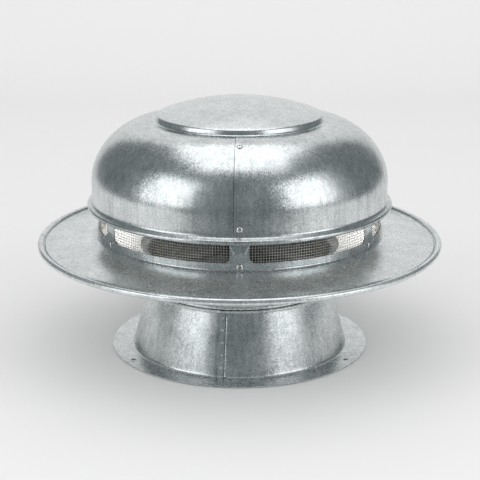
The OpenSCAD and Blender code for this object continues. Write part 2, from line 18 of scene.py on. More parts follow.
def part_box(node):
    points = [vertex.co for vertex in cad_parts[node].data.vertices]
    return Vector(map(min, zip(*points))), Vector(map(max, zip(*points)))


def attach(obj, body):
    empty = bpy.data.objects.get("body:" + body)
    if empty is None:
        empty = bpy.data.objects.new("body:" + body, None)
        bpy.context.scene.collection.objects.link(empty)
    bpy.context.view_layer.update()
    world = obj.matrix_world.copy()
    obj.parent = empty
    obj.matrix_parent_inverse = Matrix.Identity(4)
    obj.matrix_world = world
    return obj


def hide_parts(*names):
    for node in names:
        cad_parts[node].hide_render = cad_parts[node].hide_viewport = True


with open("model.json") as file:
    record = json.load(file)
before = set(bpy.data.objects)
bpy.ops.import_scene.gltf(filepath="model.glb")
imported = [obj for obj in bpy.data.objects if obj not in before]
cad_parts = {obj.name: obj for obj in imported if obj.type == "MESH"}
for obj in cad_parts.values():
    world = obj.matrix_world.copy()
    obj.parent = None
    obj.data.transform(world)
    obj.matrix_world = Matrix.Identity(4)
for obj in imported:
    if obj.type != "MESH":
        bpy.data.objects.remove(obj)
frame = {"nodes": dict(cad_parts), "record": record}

MM = 0.001
HEAD = "head"
LOG = logging.getLogger("attic_fan")

Point = tuple[float, float]
Place = tuple[float, float, float]
Colour = tuple[float, float, float]
Lift = Callable[[float, float, float], float]


# ---------- Small helpers ----------


class Shade(Enum):
    """How faces of a mesh meet."""

    FLAT = 0.0
    CRISP = 13.0
    SHEET = 38.0
    ROUND = 60.0


def arc(centre: Point, radius: float, start: float, end: float, steps: int) -> list[Point]:
    """Points along an arc in a profile's plane.

    Args:
        centre: Centre of the arc, as radius and height.
        radius: Radius of the arc.
        start: First angle in degrees, 0 pointing outwards and 90 up.
        end: Last angle in degrees.
        steps: Number of chords.

    Returns:
        The points, both ends included.
    """
    angles = [math.radians(start + (end - start) * i / steps) for i in range(steps + 1)]
    return [(centre[0] + radius * math.cos(a), centre[1] + radius * math.sin(a)) for a in angles]


def refine(path: Sequence[Point], step: float) -> list[Point]:
    """Splits the long chords of a path.

    Args:
        path: Points of the path.
        step: Longest chord allowed.

    Returns:
        The path with points added along its long chords.
    """
    out = [path[0]]
    for a, b in zip(path, path[1:]):
        n = max(1, math.ceil(math.dist(a, b) / step))
        out += [(a[0] + (b[0] - a[0]) * i / n, a[1] + (b[1] - a[1]) * i / n) for i in range(1, n + 1)]
    return out


def smooth(t: float) -> float:
    """Smooth step of t, from 0 to 1."""
    t = min(max(t, 0.0), 1.0)
    return t * t * (3 - 2 * t)


def on_turn(azimuth: float, radius: float, height: float) -> Place:
    """Place at an azimuth in degrees, counted from the front towards +X."""
    a = math.radians(azimuth)
    return radius * math.sin(a), -radius * math.cos(a), height


def dents(azimuth: float, radius: float, height: float, *sizes: tuple[float, float]) -> float:
    """Shallow unevenness of hand-finished sheet.

    Args:
        azimuth: Place round the axis, in degrees.
        radius: Distance from the axis.
        height: Height of the place.
        sizes: For each kind of dent, its largest depth and its width.

    Returns:
        The offset of the surface.
    """
    place = Vector(on_turn(azimuth, radius, height))
    return sum(depth * noise.noise(place / width) for depth, width in sizes)


def new_object(name: str, mesh: bpy.types.Mesh) -> bpy.types.Object:
    """Links a mesh into the scene as an object at the origin."""
    piece = bpy.data.objects.new(name, mesh)
    bpy.context.scene.collection.objects.link(piece)
    return piece


def shade(mesh: bpy.types.Mesh, how: Shade) -> None:
    """Shades a mesh smooth, with an edge kept where its faces meet at more than an angle."""
    mesh.polygons.foreach_set("use_smooth", [how is not Shade.FLAT] * len(mesh.polygons))
    if how is not Shade.FLAT:
        mesh.set_sharp_from_angle(angle=math.radians(how.value))


def mesh_from(bm: bmesh.types.BMesh, name: str, how: Shade) -> bpy.types.Mesh:
    """Closes a bmesh into a mesh with outward normals.

    Args:
        bm: The bmesh, freed here.
        name: Name of the mesh.
        how: How its faces meet.

    Returns:
        The finished mesh.
    """
    bmesh.ops.remove_doubles(bm, verts=bm.verts, dist=1e-6)
    bmesh.ops.recalc_face_normals(bm, faces=bm.faces)
    mesh = bpy.data.meshes.new(name)
    bm.to_mesh(mesh)
    bm.free()
    shade(mesh, how)
    return mesh


def applied(piece: bpy.types.Object, name: str) -> bpy.types.Object:
    """Turns an object with modifiers into a plain mesh object.

    Args:
        piece: The object, removed here.
        name: Name of the plain object.

    Returns:
        The plain object.
    """
    mesh = evaluated_mesh(piece)
    mesh.name = name
    bpy.data.objects.remove(piece)
    return new_object(name, mesh)


def evaluated_mesh(piece: bpy.types.Object) -> bpy.types.Mesh:
    """Copies an object's mesh with its modifiers applied."""
    bpy.context.view_layer.update()
    graph = bpy.context.evaluated_depsgraph_get()
    return bpy.data.meshes.new_from_object(piece.evaluated_get(graph))


def cut(piece: bpy.types.Object, tool: bpy.types.Object) -> None:
    """Cuts a tool out of a piece, and removes the tool.

    Args:
        piece: The piece, which gets a new mesh.
        tool: The tool.
    """
    boolean = piece.modifiers.new("cut", "BOOLEAN")
    boolean.operation = "DIFFERENCE"
    boolean.solver = "EXACT"
    boolean.object = tool
    mesh = evaluated_mesh(piece)
    piece.modifiers.remove(boolean)
    piece.data = mesh
    bpy.data.objects.remove(tool)


def dress(piece: bpy.types.Object, material: bpy.types.Material) -> bpy.types.Object:
    """Gives an object one material.

    Args:
        piece: The object.
        material: The material.

    Returns:
        The object.
    """
    if not piece.data.materials:
        piece.data.materials.append(material)
    for slot in piece.material_slots:
        slot.material = material
    return piece


def settle(piece: bpy.types.Object, body: str, slot: str, nodes: Iterable[str] = ()) -> bpy.types.Object:
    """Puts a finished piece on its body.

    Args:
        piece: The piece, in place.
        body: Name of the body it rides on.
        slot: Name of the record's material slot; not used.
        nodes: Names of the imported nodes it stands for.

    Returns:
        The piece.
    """
    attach(piece, body)
    if nodes:
        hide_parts(*nodes)
    LOG.info("%s rides on %s, %d faces", piece.name, body, len(piece.data.polygons))
    return piece


# ---------- Spun sheet ----------


@dataclass
class SpunSheet:
    """A sheet spun round +Z: a path in the plane of radius and height, with a thickness."""

    BESIDE_SEAM = (-0.6, -0.34, -0.24, -0.12, -0.02, 0.02, 0.12, 0.24, 0.34, 0.6)
    CLEAR_OF_SEAM = 0.8

    name: str
    path: Sequence[Point]
    thickness: float
    columns: int = 240
    seams: tuple[float, ...] = ()
    lift: Lift = lambda azimuth, radius, height: 0.0

    def normals(self) -> list[Point]:
        """Mitred normal at each point of the path."""
        out = []
        last = len(self.path) - 1
        for i in range(last + 1):
            pair = []
            for a, b in ((max(i - 1, 0), max(i, 1)), (min(i, last - 1), min(i + 1, last))):
                dr, dz = self.path[b][0] - self.path[a][0], self.path[b][1] - self.path[a][1]
                length = math.hypot(dr, dz)
                pair.append((-dz / length, dr / length))
            (ur, uz), (vr, vz) = pair
            size = 1 + ur * vr + uz * vz
            out.append(((ur + vr) / size, (uz + vz) / size))
        return out

    def azimuths(self) -> list[float]:
        """Azimuths of the columns, with finer ones beside each seam."""
        even = [-180 + 360 * k / self.columns for k in range(self.columns)]
        kept = [a for a in even if all(abs(a - s) > self.CLEAR_OF_SEAM for s in self.seams)]
        return sorted(kept + [s + side for s in self.seams for side in self.BESIDE_SEAM])

    def build(self) -> bpy.types.Object:
        """Builds the closed sheet as an object at the origin."""
        normals = self.normals()
        order = [(i, 0.5) for i in range(len(self.path))]
        order += [(i, -0.5) for i in reversed(range(len(self.path)))]
        bm = bmesh.new()
        rows = []
        for azimuth in self.azimuths():
            row = []
            for i, side in order:
                (r, z), (nr, nz) = self.path[i], normals[i]
                out = side * self.thickness + self.lift(azimuth, r, z)
                row.append(bm.verts.new(on_turn(azimuth, max(r + nr * out, 0.0), z + nz * out)))
            rows.append(row)
        count = len(order)
        for k, row in enumerate(rows):
            following = rows[(k + 1) % len(rows)]
            for j in range(count):
                corners = (row[j], row[(j + 1) % count], following[(j + 1) % count], following[j])
                bm.faces.new(corners)
        return new_object(self.name, mesh_from(bm, self.name, Shade.SHEET))


# ---------- Node trees ----------


class Nodes:
    """A node tree under construction."""

    def __init__(self, tree: bpy.types.NodeTree) -> None:
        """Takes the tree that the nodes go in."""
        self.tree = tree

    def node(self, kind: str, links: dict | None = None, **settings) -> bpy.types.Node:
        """Adds a node.

        Args:
            kind: The node's type name.
            links: For each input, by name or index, the output or the value that it takes.
            settings: Properties of the node.

        Returns:
            The node.
        """
        made = self.tree.nodes.new(kind)
        for key, value in settings.items():
            setattr(made, key, value)
        for key, value in (links or {}).items():
            if isinstance(value, bpy.types.NodeSocket):
                self.tree.links.new(value, made.inputs[key])
            else:
                made.inputs[key].default_value = value
        return made

    def math(self, operation: str, *values, clamp: bool = False) -> bpy.types.NodeSocket:
        """Adds a math node and gives its output."""
        links = dict(enumerate(values))
        return self.node("ShaderNodeMath", links, operation=operation, use_clamp=clamp).outputs[0]

    def vector(self, x=0.0, y=0.0, z=0.0) -> bpy.types.NodeSocket:
        """Adds a node that joins three numbers and gives its output."""
        return self.node("ShaderNodeCombineXYZ", {"X": x, "Y": y, "Z": z}).outputs[0]

    def vector_math(self, operation: str, first, second) -> bpy.types.NodeSocket:
        """Adds a vector math node and gives its output."""
        key = "Scale" if operation == "SCALE" else 1
        return self.node("ShaderNodeVectorMath", {0: first, key: second}, operation=operation).outputs[0]

    def mixed(self, factor: float, first, second) -> bpy.types.NodeSocket:
        """Mixes two numbers and gives the result."""
        return self.node("ShaderNodeMix", {"Factor": factor, 2: first, 3: second}).outputs[0]

    def noise(self, where, scale, detail: float, rough: float = 0.5, warp: float = 0.0) -> bpy.types.Node:
        """Adds a noise texture."""
        links = {"Vector": where, "Scale": scale, "Detail": detail, "Roughness": rough, "Distortion": warp}
        return self.node("ShaderNodeTexNoise", links)


class Tree(Nodes):
    """A geometry node tree."""

    def __init__(self, name: str, **kinds: str) -> None:
        """Starts a tree with a geometry output and named inputs, each given its socket type."""
        super().__init__(bpy.data.node_groups.new(name, "GeometryNodeTree"))
        self.tree.interface.new_socket("Geometry", in_out="OUTPUT", socket_type="NodeSocketGeometry")
        self.inputs = {}
        for key, kind in kinds.items():
            socket = self.tree.interface.new_socket(key, in_out="INPUT", socket_type="NodeSocket" + kind)
            self.inputs[key] = socket.identifier
        self.source = self.node("NodeGroupInput")

    def given(self, name: str) -> bpy.types.NodeSocket:
        """Output of the group's input of that name."""
        return self.source.outputs[name]

    def on_circle(self, angle: bpy.types.NodeSocket, radius, height=0.0) -> bpy.types.NodeSocket:
        """Place at an angle, a radius and a height."""
        return self.vector(
            self.math("MULTIPLY", self.math("COSINE", angle), radius),
            self.math("MULTIPLY", self.math("SINE", angle), radius), height)

    def copies(
            self, piece: bpy.types.NodeSocket, count: bpy.types.NodeSocket, place: bpy.types.NodeSocket,
            turn: bpy.types.NodeSocket) -> bpy.types.NodeSocket:
        """Sets copies of a shape at places, each turned.

        Args:
            piece: The shape.
            count: How many.
            place: Where each one goes.
            turn: Angles that it is turned by.

        Returns:
            The copies.
        """
        points = self.node("GeometryNodePoints", {"Count": count, "Position": place})
        turned = self.node("FunctionNodeEulerToRotation", {0: turn})
        return self.node("GeometryNodeInstanceOnPoints", {
            "Points": points.outputs[0], "Instance": piece, "Rotation": turned.outputs[0]}).outputs[0]

    def piece(self) -> bpy.types.NodeSocket:
        """Shape of the object given as Piece."""
        return self.node("GeometryNodeObjectInfo", {"Object": self.given("Piece")}).outputs["Geometry"]

    def finish(self, *shapes: bpy.types.NodeSocket) -> None:
        """Joins the shapes, makes them real and gives them the tree's material."""
        join = self.node("GeometryNodeJoinGeometry")
        for shape in shapes:
            self.tree.links.new(shape, join.inputs[0])
        real = self.node("GeometryNodeRealizeInstances", {0: join.outputs[0]}).outputs[0]
        dressed = self.node("GeometryNodeSetMaterial", {"Geometry": real, "Material": self.given("Material")})
        self.node("NodeGroupOutput", {0: dressed.outputs[0]})

    def make(self, name: str, how: Shade, **values) -> bpy.types.Object:
        """Runs the tree once.

        Args:
            name: Name of the finished piece.
            how: How its faces meet.
            values: A value for each of the tree's inputs.

        Returns:
            A plain mesh object at the origin.
        """
        host = new_object(name + "_host", bpy.data.meshes.new(name + "_host"))
        modifier = host.modifiers.new("tree", "NODES")
        modifier.node_group = self.tree
        for key, value in values.items():
            modifier[self.inputs[key]] = value
        piece = applied(host, name)
        shade(piece.data, how)
        return piece


def around_tree() -> Tree:
    """Tree that sets copies of a piece round the axis, their +X pointing outwards."""
    tree = Tree(
        "around", Piece="Object", Count="Int", Radius="Float", Height="Float", First="Float",
        Material="Material")
    index = tree.node("GeometryNodeInputIndex").outputs[0]
    step = tree.math("DIVIDE", math.tau, tree.given("Count"))
    angle = tree.math("ADD", tree.math("MULTIPLY", index, step), tree.given("First"))
    place = tree.on_circle(angle, tree.given("Radius"), tree.given("Height"))
    tree.finish(tree.copies(tree.piece(), tree.given("Count"), place, tree.vector(z=angle)))
    return tree


def row_tree() -> Tree:
    """Tree that sets copies of a piece in a row between two places, all turned the same way."""
    tree = Tree(
        "row", Piece="Object", Count="Int", Start="Vector", End="Vector", Turn="Vector", Material="Material")
    index = tree.node("GeometryNodeInputIndex").outputs[0]
    part = tree.math("DIVIDE", index, tree.math("SUBTRACT", tree.given("Count"), 1.0))
    whole = tree.vector_math("SUBTRACT", tree.given("End"), tree.given("Start"))
    place = tree.vector_math("ADD", tree.given("Start"), tree.vector_math("SCALE", whole, part))
    tree.finish(tree.copies(tree.piece(), tree.given("Count"), place, tree.given("Turn")))
    return tree


def cloth_tree() -> Tree:
    """Tree that weaves plain wire cloth into a ring: upright wires and hoops that pass over and under."""
    tree = Tree(
        "wire_cloth", Radius="Float", Low="Float", Pitch="Float", Uprights="Int", Hoops="Int",
        Wire="Float", Weave="Float", Material="Material")
    index = tree.node("GeometryNodeInputIndex").outputs[0]
    half_turns = tree.math("MULTIPLY", index, math.pi)
    swing = tree.math("MULTIPLY", tree.math("COSINE", half_turns), tree.given("Weave"))
    rise = tree.math("MULTIPLY", index, tree.given("Pitch"))
    angle = tree.math("MULTIPLY", index, tree.math("DIVIDE", math.tau, tree.given("Uprights")))
    section = tree.node("GeometryNodeCurvePrimitiveCircle", {"Resolution": 6, "Radius": tree.given("Wire")})

    def wire(curve: bpy.types.NodeSocket, places: bpy.types.NodeSocket) -> bpy.types.NodeSocket:
        """Moves a curve's points and gives it the wire's thickness."""
        bent = tree.node("GeometryNodeSetPosition", {"Geometry": curve, "Position": places}).outputs[0]
        return tree.node("GeometryNodeCurveToMesh", {0: bent, "Profile Curve": section.outputs[0]}).outputs[0]

    reach = tree.math("ADD", tree.given("Radius"), swing)
    circle = tree.node("GeometryNodeCurvePrimitiveCircle", {"Resolution": tree.given("Uprights")})
    hoop = wire(circle.outputs[0], tree.on_circle(angle, reach))
    level = tree.vector(z=tree.math("ADD", tree.given("Low"), rise))
    hoops = tree.copies(hoop, tree.given("Hoops"), level, tree.vector(z=angle))

    line = tree.node("GeometryNodeCurvePrimitiveLine").outputs[0]
    finer = tree.node("GeometryNodeResampleCurve", {"Curve": line, "Count": tree.given("Hoops")})
    upright = wire(finer.outputs[0], tree.vector(x=tree.math("MULTIPLY", swing, -1.0), z=rise))
    foot = tree.on_circle(angle, tree.given("Radius"), tree.given("Low"))
    facing = tree.vector(z=tree.math("ADD", angle, half_turns))
    tree.finish(hoops, tree.copies(upright, tree.given("Uprights"), foot, facing))
    return tree


# ---------- Shader groups and finishes ----------


class ShaderGroup(Nodes):
    """A shader node group with named inputs and outputs."""

    def __init__(
            self, name: str, inputs: dict[str, float | None], outputs: Sequence[str],
            vectors: Sequence[str] = ()) -> None:
        """Makes the group.

        Args:
            name: Its name.
            inputs: Its inputs with their first values; one with no value is a vector.
            outputs: Names of its number outputs.
            vectors: Names of its vector outputs.
        """
        super().__init__(bpy.data.node_groups.new(name, "ShaderNodeTree"))
        face = self.tree.interface
        for key, value in inputs.items():
            kind = "NodeSocketVector" if value is None else "NodeSocketFloat"
            socket = face.new_socket(key, in_out="INPUT", socket_type=kind)
            if value is not None:
                socket.default_value = value
        for key in outputs:
            face.new_socket(key, in_out="OUTPUT", socket_type="NodeSocketFloat")
        for key in vectors:
            face.new_socket(key, in_out="OUTPUT", socket_type="NodeSocketVector")
        self.source = self.node("NodeGroupInput").outputs
        self.sink = self.node("NodeGroupOutput").inputs

    def put(self, name: str, value: bpy.types.NodeSocket) -> None:
        """Links a value to one of the group's outputs."""
        self.tree.links.new(value, self.sink[name])


def spangle_group() -> bpy.types.NodeTree:
    """Zinc crystals: small patches of their own tone, gloss and tilt, with fine grain between them."""
    inputs = {"Vector": None, "Cells": 430.0, "Grain": 560.0, "Lean": 1.0}
    g = ShaderGroup("spangle", inputs, ("Tone", "Gloss"), ("Tilt",))
    where = g.source["Vector"]
    wobble = g.noise(where, 300.0, 2.0).outputs["Color"]
    moved = g.vector_math("ADD", where, g.vector_math("MULTIPLY", wobble, (0.005, 0.005, 0.005)))
    cells = g.node("ShaderNodeTexVoronoi", {"Vector": moved, "Scale": g.source["Cells"]}).outputs["Color"]
    split = g.node("ShaderNodeSeparateColor", {0: cells})
    grain = g.noise(where, g.source["Grain"], 3.0, 0.65)
    blotch = g.noise(where, 34.0, 4.0, 0.6).outputs[0]
    specks = g.math("POWER", split.outputs[0], 0.55)
    tone = g.math("ADD", g.math("MULTIPLY", specks, 0.4), g.math("MULTIPLY", grain.outputs[0], 1.1))
    patches = g.math("MULTIPLY", g.math("SUBTRACT", blotch, 0.78), 0.85)
    g.put("Tone", g.math("ADD", tone, patches, clamp=True))
    g.put("Gloss", g.math("ADD", g.math("MULTIPLY", split.outputs[1], 0.5), g.math("MULTIPLY", blotch, 0.5)))
    middle = (0.5, 0.5, 0.5)
    facet = g.vector_math("SCALE", g.vector_math("SUBTRACT", cells, middle), 0.11)
    fine = g.vector_math("SCALE", g.vector_math("SUBTRACT", grain.outputs["Color"], middle), 0.29)
    g.put("Tilt", g.vector_math("SCALE", g.vector_math("ADD", facet, fine), g.source["Lean"]))
    return g.tree


def streak_group() -> bpy.types.NodeTree:
    """Drawing marks: soft streaks that run up and down."""
    g = ShaderGroup("streaks", {"Vector": None, "Across": 150.0, "Along": 6.0}, ("Mark",))
    stretch = g.vector(g.source["Across"], g.source["Across"], g.source["Along"])
    marks = g.noise(g.vector_math("MULTIPLY", g.source["Vector"], stretch), 1.0, 3.0, 0.55).outputs[0]
    g.put("Mark", g.math("MULTIPLY", g.math("SUBTRACT", marks, 0.28), 2.2, clamp=True))
    return g.tree


def smudge_group() -> bpy.types.NodeTree:
    """Handling marks and thin dust that dull a surface in places."""
    g = ShaderGroup("smudges", {"Vector": None, "Size": 14.0}, ("Mask",))
    broad = g.noise(g.source["Vector"], g.source["Size"], 5.0, warp=0.6).outputs[0]
    g.put("Mask", g.math("MULTIPLY", g.math("SUBTRACT", broad, 0.35), 2.2, clamp=True))
    return g.tree


@dataclass(frozen=True)
class Groups:
    """The shader groups that the finishes share."""

    spangle: bpy.types.NodeTree
    streaks: bpy.types.NodeTree
    smudges: bpy.types.NodeTree


class Painter(Nodes):
    """A material under construction: its shader, and the groups placed in it."""

    def __init__(self, name: str, groups: Groups) -> None:
        """Starts a material with a shader and object coordinates."""
        self.material = bpy.data.materials.new(name)
        self.material.use_nodes = True
        super().__init__(self.material.node_tree)
        self.groups = groups
        self.shader = self.tree.nodes["Principled BSDF"]
        self.where = self.node("ShaderNodeTexCoord").outputs["Object"]

    def use(self, group: bpy.types.NodeTree, **values: float) -> bpy.types.Node:
        """Places a shared group, with its own values."""
        return self.node("ShaderNodeGroup", {"Vector": self.where} | values, node_tree=group)

    def set(self, **values) -> None:
        """Sets the shader's own sockets, named with underscores for spaces."""
        for key, value in values.items():
            self.shader.inputs[key.replace("_", " ")].default_value = value

    def feed(self, socket: str, value: bpy.types.NodeSocket) -> None:
        """Links a value to one of the shader's sockets."""
        self.tree.links.new(value, self.shader.inputs[socket])

    def span(self, value: bpy.types.NodeSocket, low: float, high: float) -> bpy.types.NodeSocket:
        """Spreads a value from 0 to 1 between two numbers."""
        return self.node("ShaderNodeMapRange", {"Value": value, "To Min": low, "To Max": high}).outputs[0]

    def blend(self, value: bpy.types.NodeSocket, dark: Colour, light: Colour) -> bpy.types.NodeSocket:
        """Colour between two colours, by a value from 0 to 1."""
        ramp = self.node("ShaderNodeValToRGB", {0: value})
        ramp.color_ramp.elements[0].color = (*dark, 1)
        ramp.color_ramp.elements[1].color = (*light, 1)
        return ramp.outputs[0]

    def tilt(self, offset: bpy.types.NodeSocket) -> None:
        """Leans the shader's normal by a small offset, which fades where the surface is seen edge on."""
        normal = self.node("ShaderNodeNewGeometry").outputs["Normal"]
        facing = self.node("ShaderNodeLayerWeight", {"Blend": 0.5}).outputs["Facing"]
        calm = self.node("ShaderNodeMapRange", {
            "Value": facing, "From Min": 0.4, "From Max": 0.95, "To Min": 1.0, "To Max": 0.22}).outputs[0]
        total = self.vector_math("ADD", normal, self.vector_math("SCALE", offset, calm))
        unit = self.node("ShaderNodeVectorMath", {0: total}, operation="NORMALIZE")
        self.feed("Normal", unit.outputs[0])

    def bump(self, height: bpy.types.NodeSocket, distance: float, strength: float) -> None:
        """Turns a height into the shader's normal."""
        bump = self.node("ShaderNodeBump", {"Height": height, "Distance": distance, "Strength": strength})
        self.feed("Normal", bump.outputs[0])


@dataclass(frozen=True)
class Galvanised:
    """Zinc-coated sheet: a bright grey with spangle, soft streaks and dull patches."""

    name: str
    dark: Colour = (0.25, 0.28, 0.285)
    light: Colour = (0.92, 0.945, 0.95)
    rough: tuple[float, float] = (0.2, 0.36)
    cells: float = 560.0
    streaks: float = 0.28
    lean: float = 0.42
    metallic: float = 1.0

    def material(self, groups: Groups) -> bpy.types.Material:
        """Builds the material."""
        p = Painter(self.name, groups)
        spangle = p.use(groups.spangle, Cells=self.cells, Lean=self.lean)
        streaks = p.use(groups.streaks).outputs["Mark"]
        smudges = p.use(groups.smudges).outputs["Mask"]
        tone = p.mixed(self.streaks, spangle.outputs["Tone"], streaks)
        p.feed("Base Color", p.blend(tone, self.dark, self.light))
        p.feed("Roughness", p.span(p.mixed(0.35, spangle.outputs["Gloss"], smudges), *self.rough))
        p.set(Metallic=self.metallic)
        p.tilt(spangle.outputs["Tilt"])
        return p.material


@dataclass(frozen=True)
class Plain:
    """A moulded, painted, rubber or machined surface with fine grain and dull patches."""

    name: str
    dark: Colour
    light: Colour
    rough: tuple[float, float] = (0.35, 0.5)
    metallic: float = 0.0
    grain: float = 700.0
    relief: float = 0.00008
    coat: float = 0.0

    def material(self, groups: Groups) -> bpy.types.Material:
        """Builds the material."""
        p = Painter(self.name, groups)
        grain = p.noise(p.where, self.grain, 4.0).outputs[0]
        smudges = p.use(groups.smudges, Size=30.0).outputs["Mask"]
        p.feed("Base Color", p.blend(p.mixed(0.5, grain, smudges), self.dark, self.light))
        p.feed("Roughness", p.span(smudges, *self.rough))
        p.set(Metallic=self.metallic, Coat_Weight=self.coat)
        p.bump(grain, self.relief, 0.6)
        return p.material


@dataclass(frozen=True)
class Turned:
    """Turned or drawn metal, with fine rings or lines along one axis."""

    name: str
    dark: Colour
    light: Colour
    rough: tuple[float, float] = (0.18, 0.32)
    lines: float = 2500.0

    def material(self, groups: Groups) -> bpy.types.Material:
        """Builds the material."""
        p = Painter(self.name, groups)
        stretch = p.vector_math("MULTIPLY", p.where, (30.0, 30.0, self.lines))
        rings = p.noise(stretch, 1.0, 2.0).outputs[0]
        smudges = p.use(groups.smudges, Size=40.0).outputs["Mask"]
        p.feed("Base Color", p.blend(rings, self.dark, self.light))
        p.feed("Roughness", p.span(smudges, *self.rough))
        p.set(Metallic=1.0)
        p.bump(rings, 0.03 * MM, 0.4)
        return p.material


class Palette:
    """Every finish on the fan, by name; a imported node's finish has the name of its slot."""

    def __init__(self) -> None:
        """Builds the shared groups and the materials."""
        groups = Groups(spangle_group(), streak_group(), smudge_group())
        black = ((0.012, 0.013, 0.014), (0.03, 0.032, 0.034))
        finishes = [
            Galvanised("galvanised_sheet"),
            Galvanised("brim_sheet", (0.32, 0.35, 0.355), lean=0.3, metallic=0.87),
            Galvanised("crown_sheet", (0.42, 0.45, 0.455), (0.86, 0.885, 0.89), lean=0.24),
            Galvanised("edge_wire", rough=(0.3, 0.45), cells=700.0),
            # Near-white, half-metal copy of the galvanised finish for the funnel floor: painted light,
            # standing for the light that comes in through the vent slots.
            Galvanised("throat_floor_painted_light", (0.86, 0.85, 0.82), (0.96, 0.95, 0.93), (0.3, 0.45), metallic=0.4),
            Galvanised("wire_cloth", (0.46, 0.44, 0.40), (0.78, 0.75, 0.69), (0.32, 0.45), 900.0, lean=0.3),
            Galvanised("zinc_fastener", (0.55, 0.55, 0.54), (0.8, 0.8, 0.79), (0.2, 0.3), 900.0, 0.0, 0.3),
            Plain("bracket_black", *black, rough=(0.4, 0.55), coat=0.1),
            Plain("motor_black", *black, rough=(0.32, 0.5), grain=1200.0, relief=0.00012),
            Turned("lamination", (0.16, 0.165, 0.175), (0.36, 0.37, 0.39), (0.35, 0.5), 4200.0),
            Plain("copper_wire", (0.42, 0.15, 0.05), (0.75, 0.32, 0.12), (0.2, 0.35), 1.0, 1600.0, 0.0002),
            Plain("magnet", (0.16, 0.165, 0.17), (0.26, 0.265, 0.27), (0.25, 0.4), 1.0),
            Turned("bearing_steel", (0.62, 0.63, 0.65), (0.82, 0.83, 0.85), (0.08, 0.18)),
            Turned("shaft_steel", (0.48, 0.49, 0.5), (0.72, 0.73, 0.74), (0.14, 0.28)),
            Turned("hub_metal", (0.5, 0.505, 0.51), (0.78, 0.785, 0.79), (0.2, 0.34), 1800.0),
            Plain("blade_black", *black, rough=(0.34, 0.48), metallic=0.4),
            Turned("switch_metal", (0.45, 0.42, 0.35), (0.68, 0.65, 0.57), (0.22, 0.36)),
            Plain("rubber_black", (0.01, 0.01, 0.01), (0.028, 0.028, 0.028), (0.6, 0.8)),
            Plain("box_plastic", *black, rough=(0.45, 0.62), grain=1500.0, relief=0.00015),
            Plain("clip_plastic", (0.62, 0.62, 0.6), (0.78, 0.78, 0.75), (0.4, 0.5)),
            Plain("board_green", (0.01, 0.09, 0.035), (0.02, 0.16, 0.06), (0.2, 0.35), coat=0.4),
            Plain("terminal_green", (0.02, 0.22, 0.06), (0.04, 0.32, 0.1), (0.25, 0.35)),
            Plain("lead_black", (0.01, 0.01, 0.01), (0.03, 0.03, 0.03), (0.4, 0.55)),
            Plain("lead_red", (0.3, 0.012, 0.008), (0.48, 0.03, 0.02), (0.4, 0.55)),
            Plain("black_oxide", (0.015, 0.015, 0.016), (0.04, 0.04, 0.042), (0.3, 0.45), 0.8),
        ]
        self.materials = {f.name: f.material(groups) for f in finishes}

    def __getitem__(self, name: str) -> bpy.types.Material:
        """The material of a name."""
        return self.materials[name]


# ---------- Outer shell ----------


@dataclass
class Shell:
    """What the sheet-metal pieces share: the sheet's thickness and the palette."""

    palette: Palette
    sheet: float = 1.2 * MM
    slot: str = "galvanised_sheet"

    def path(self) -> list[Point]:
        """Mid-sheet path of the piece, as radius and height."""
        raise NotImplementedError

    def lift(self, azimuth: float, radius: float, height: float) -> float:
        """Offset of the sheet from its path, at a place on it.

        Args:
            azimuth: Place round the axis, in degrees.
            radius: Distance from the axis.
            height: Height of the place.

        Returns:
            The offset along the path's normal.
        """
        raise NotImplementedError

    def spin(
            self, name: str, node: str, columns: int = 300, seams: tuple[float, ...] = (),
            look: str = "galvanised_sheet") -> bpy.types.Object:
        """Spins the path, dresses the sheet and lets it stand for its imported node.

        Args:
            name: Name of the piece.
            node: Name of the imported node.
            columns: Number of columns round the axis.
            seams: Azimuths of the seams, in degrees.
            look: Name of the finish.

        Returns:
            The piece.
        """
        spun = SpunSheet(name, self.path(), self.sheet, columns, seams, self.lift)
        return settle(dress(spun.build(), self.palette[look]), HEAD, self.slot, [node])


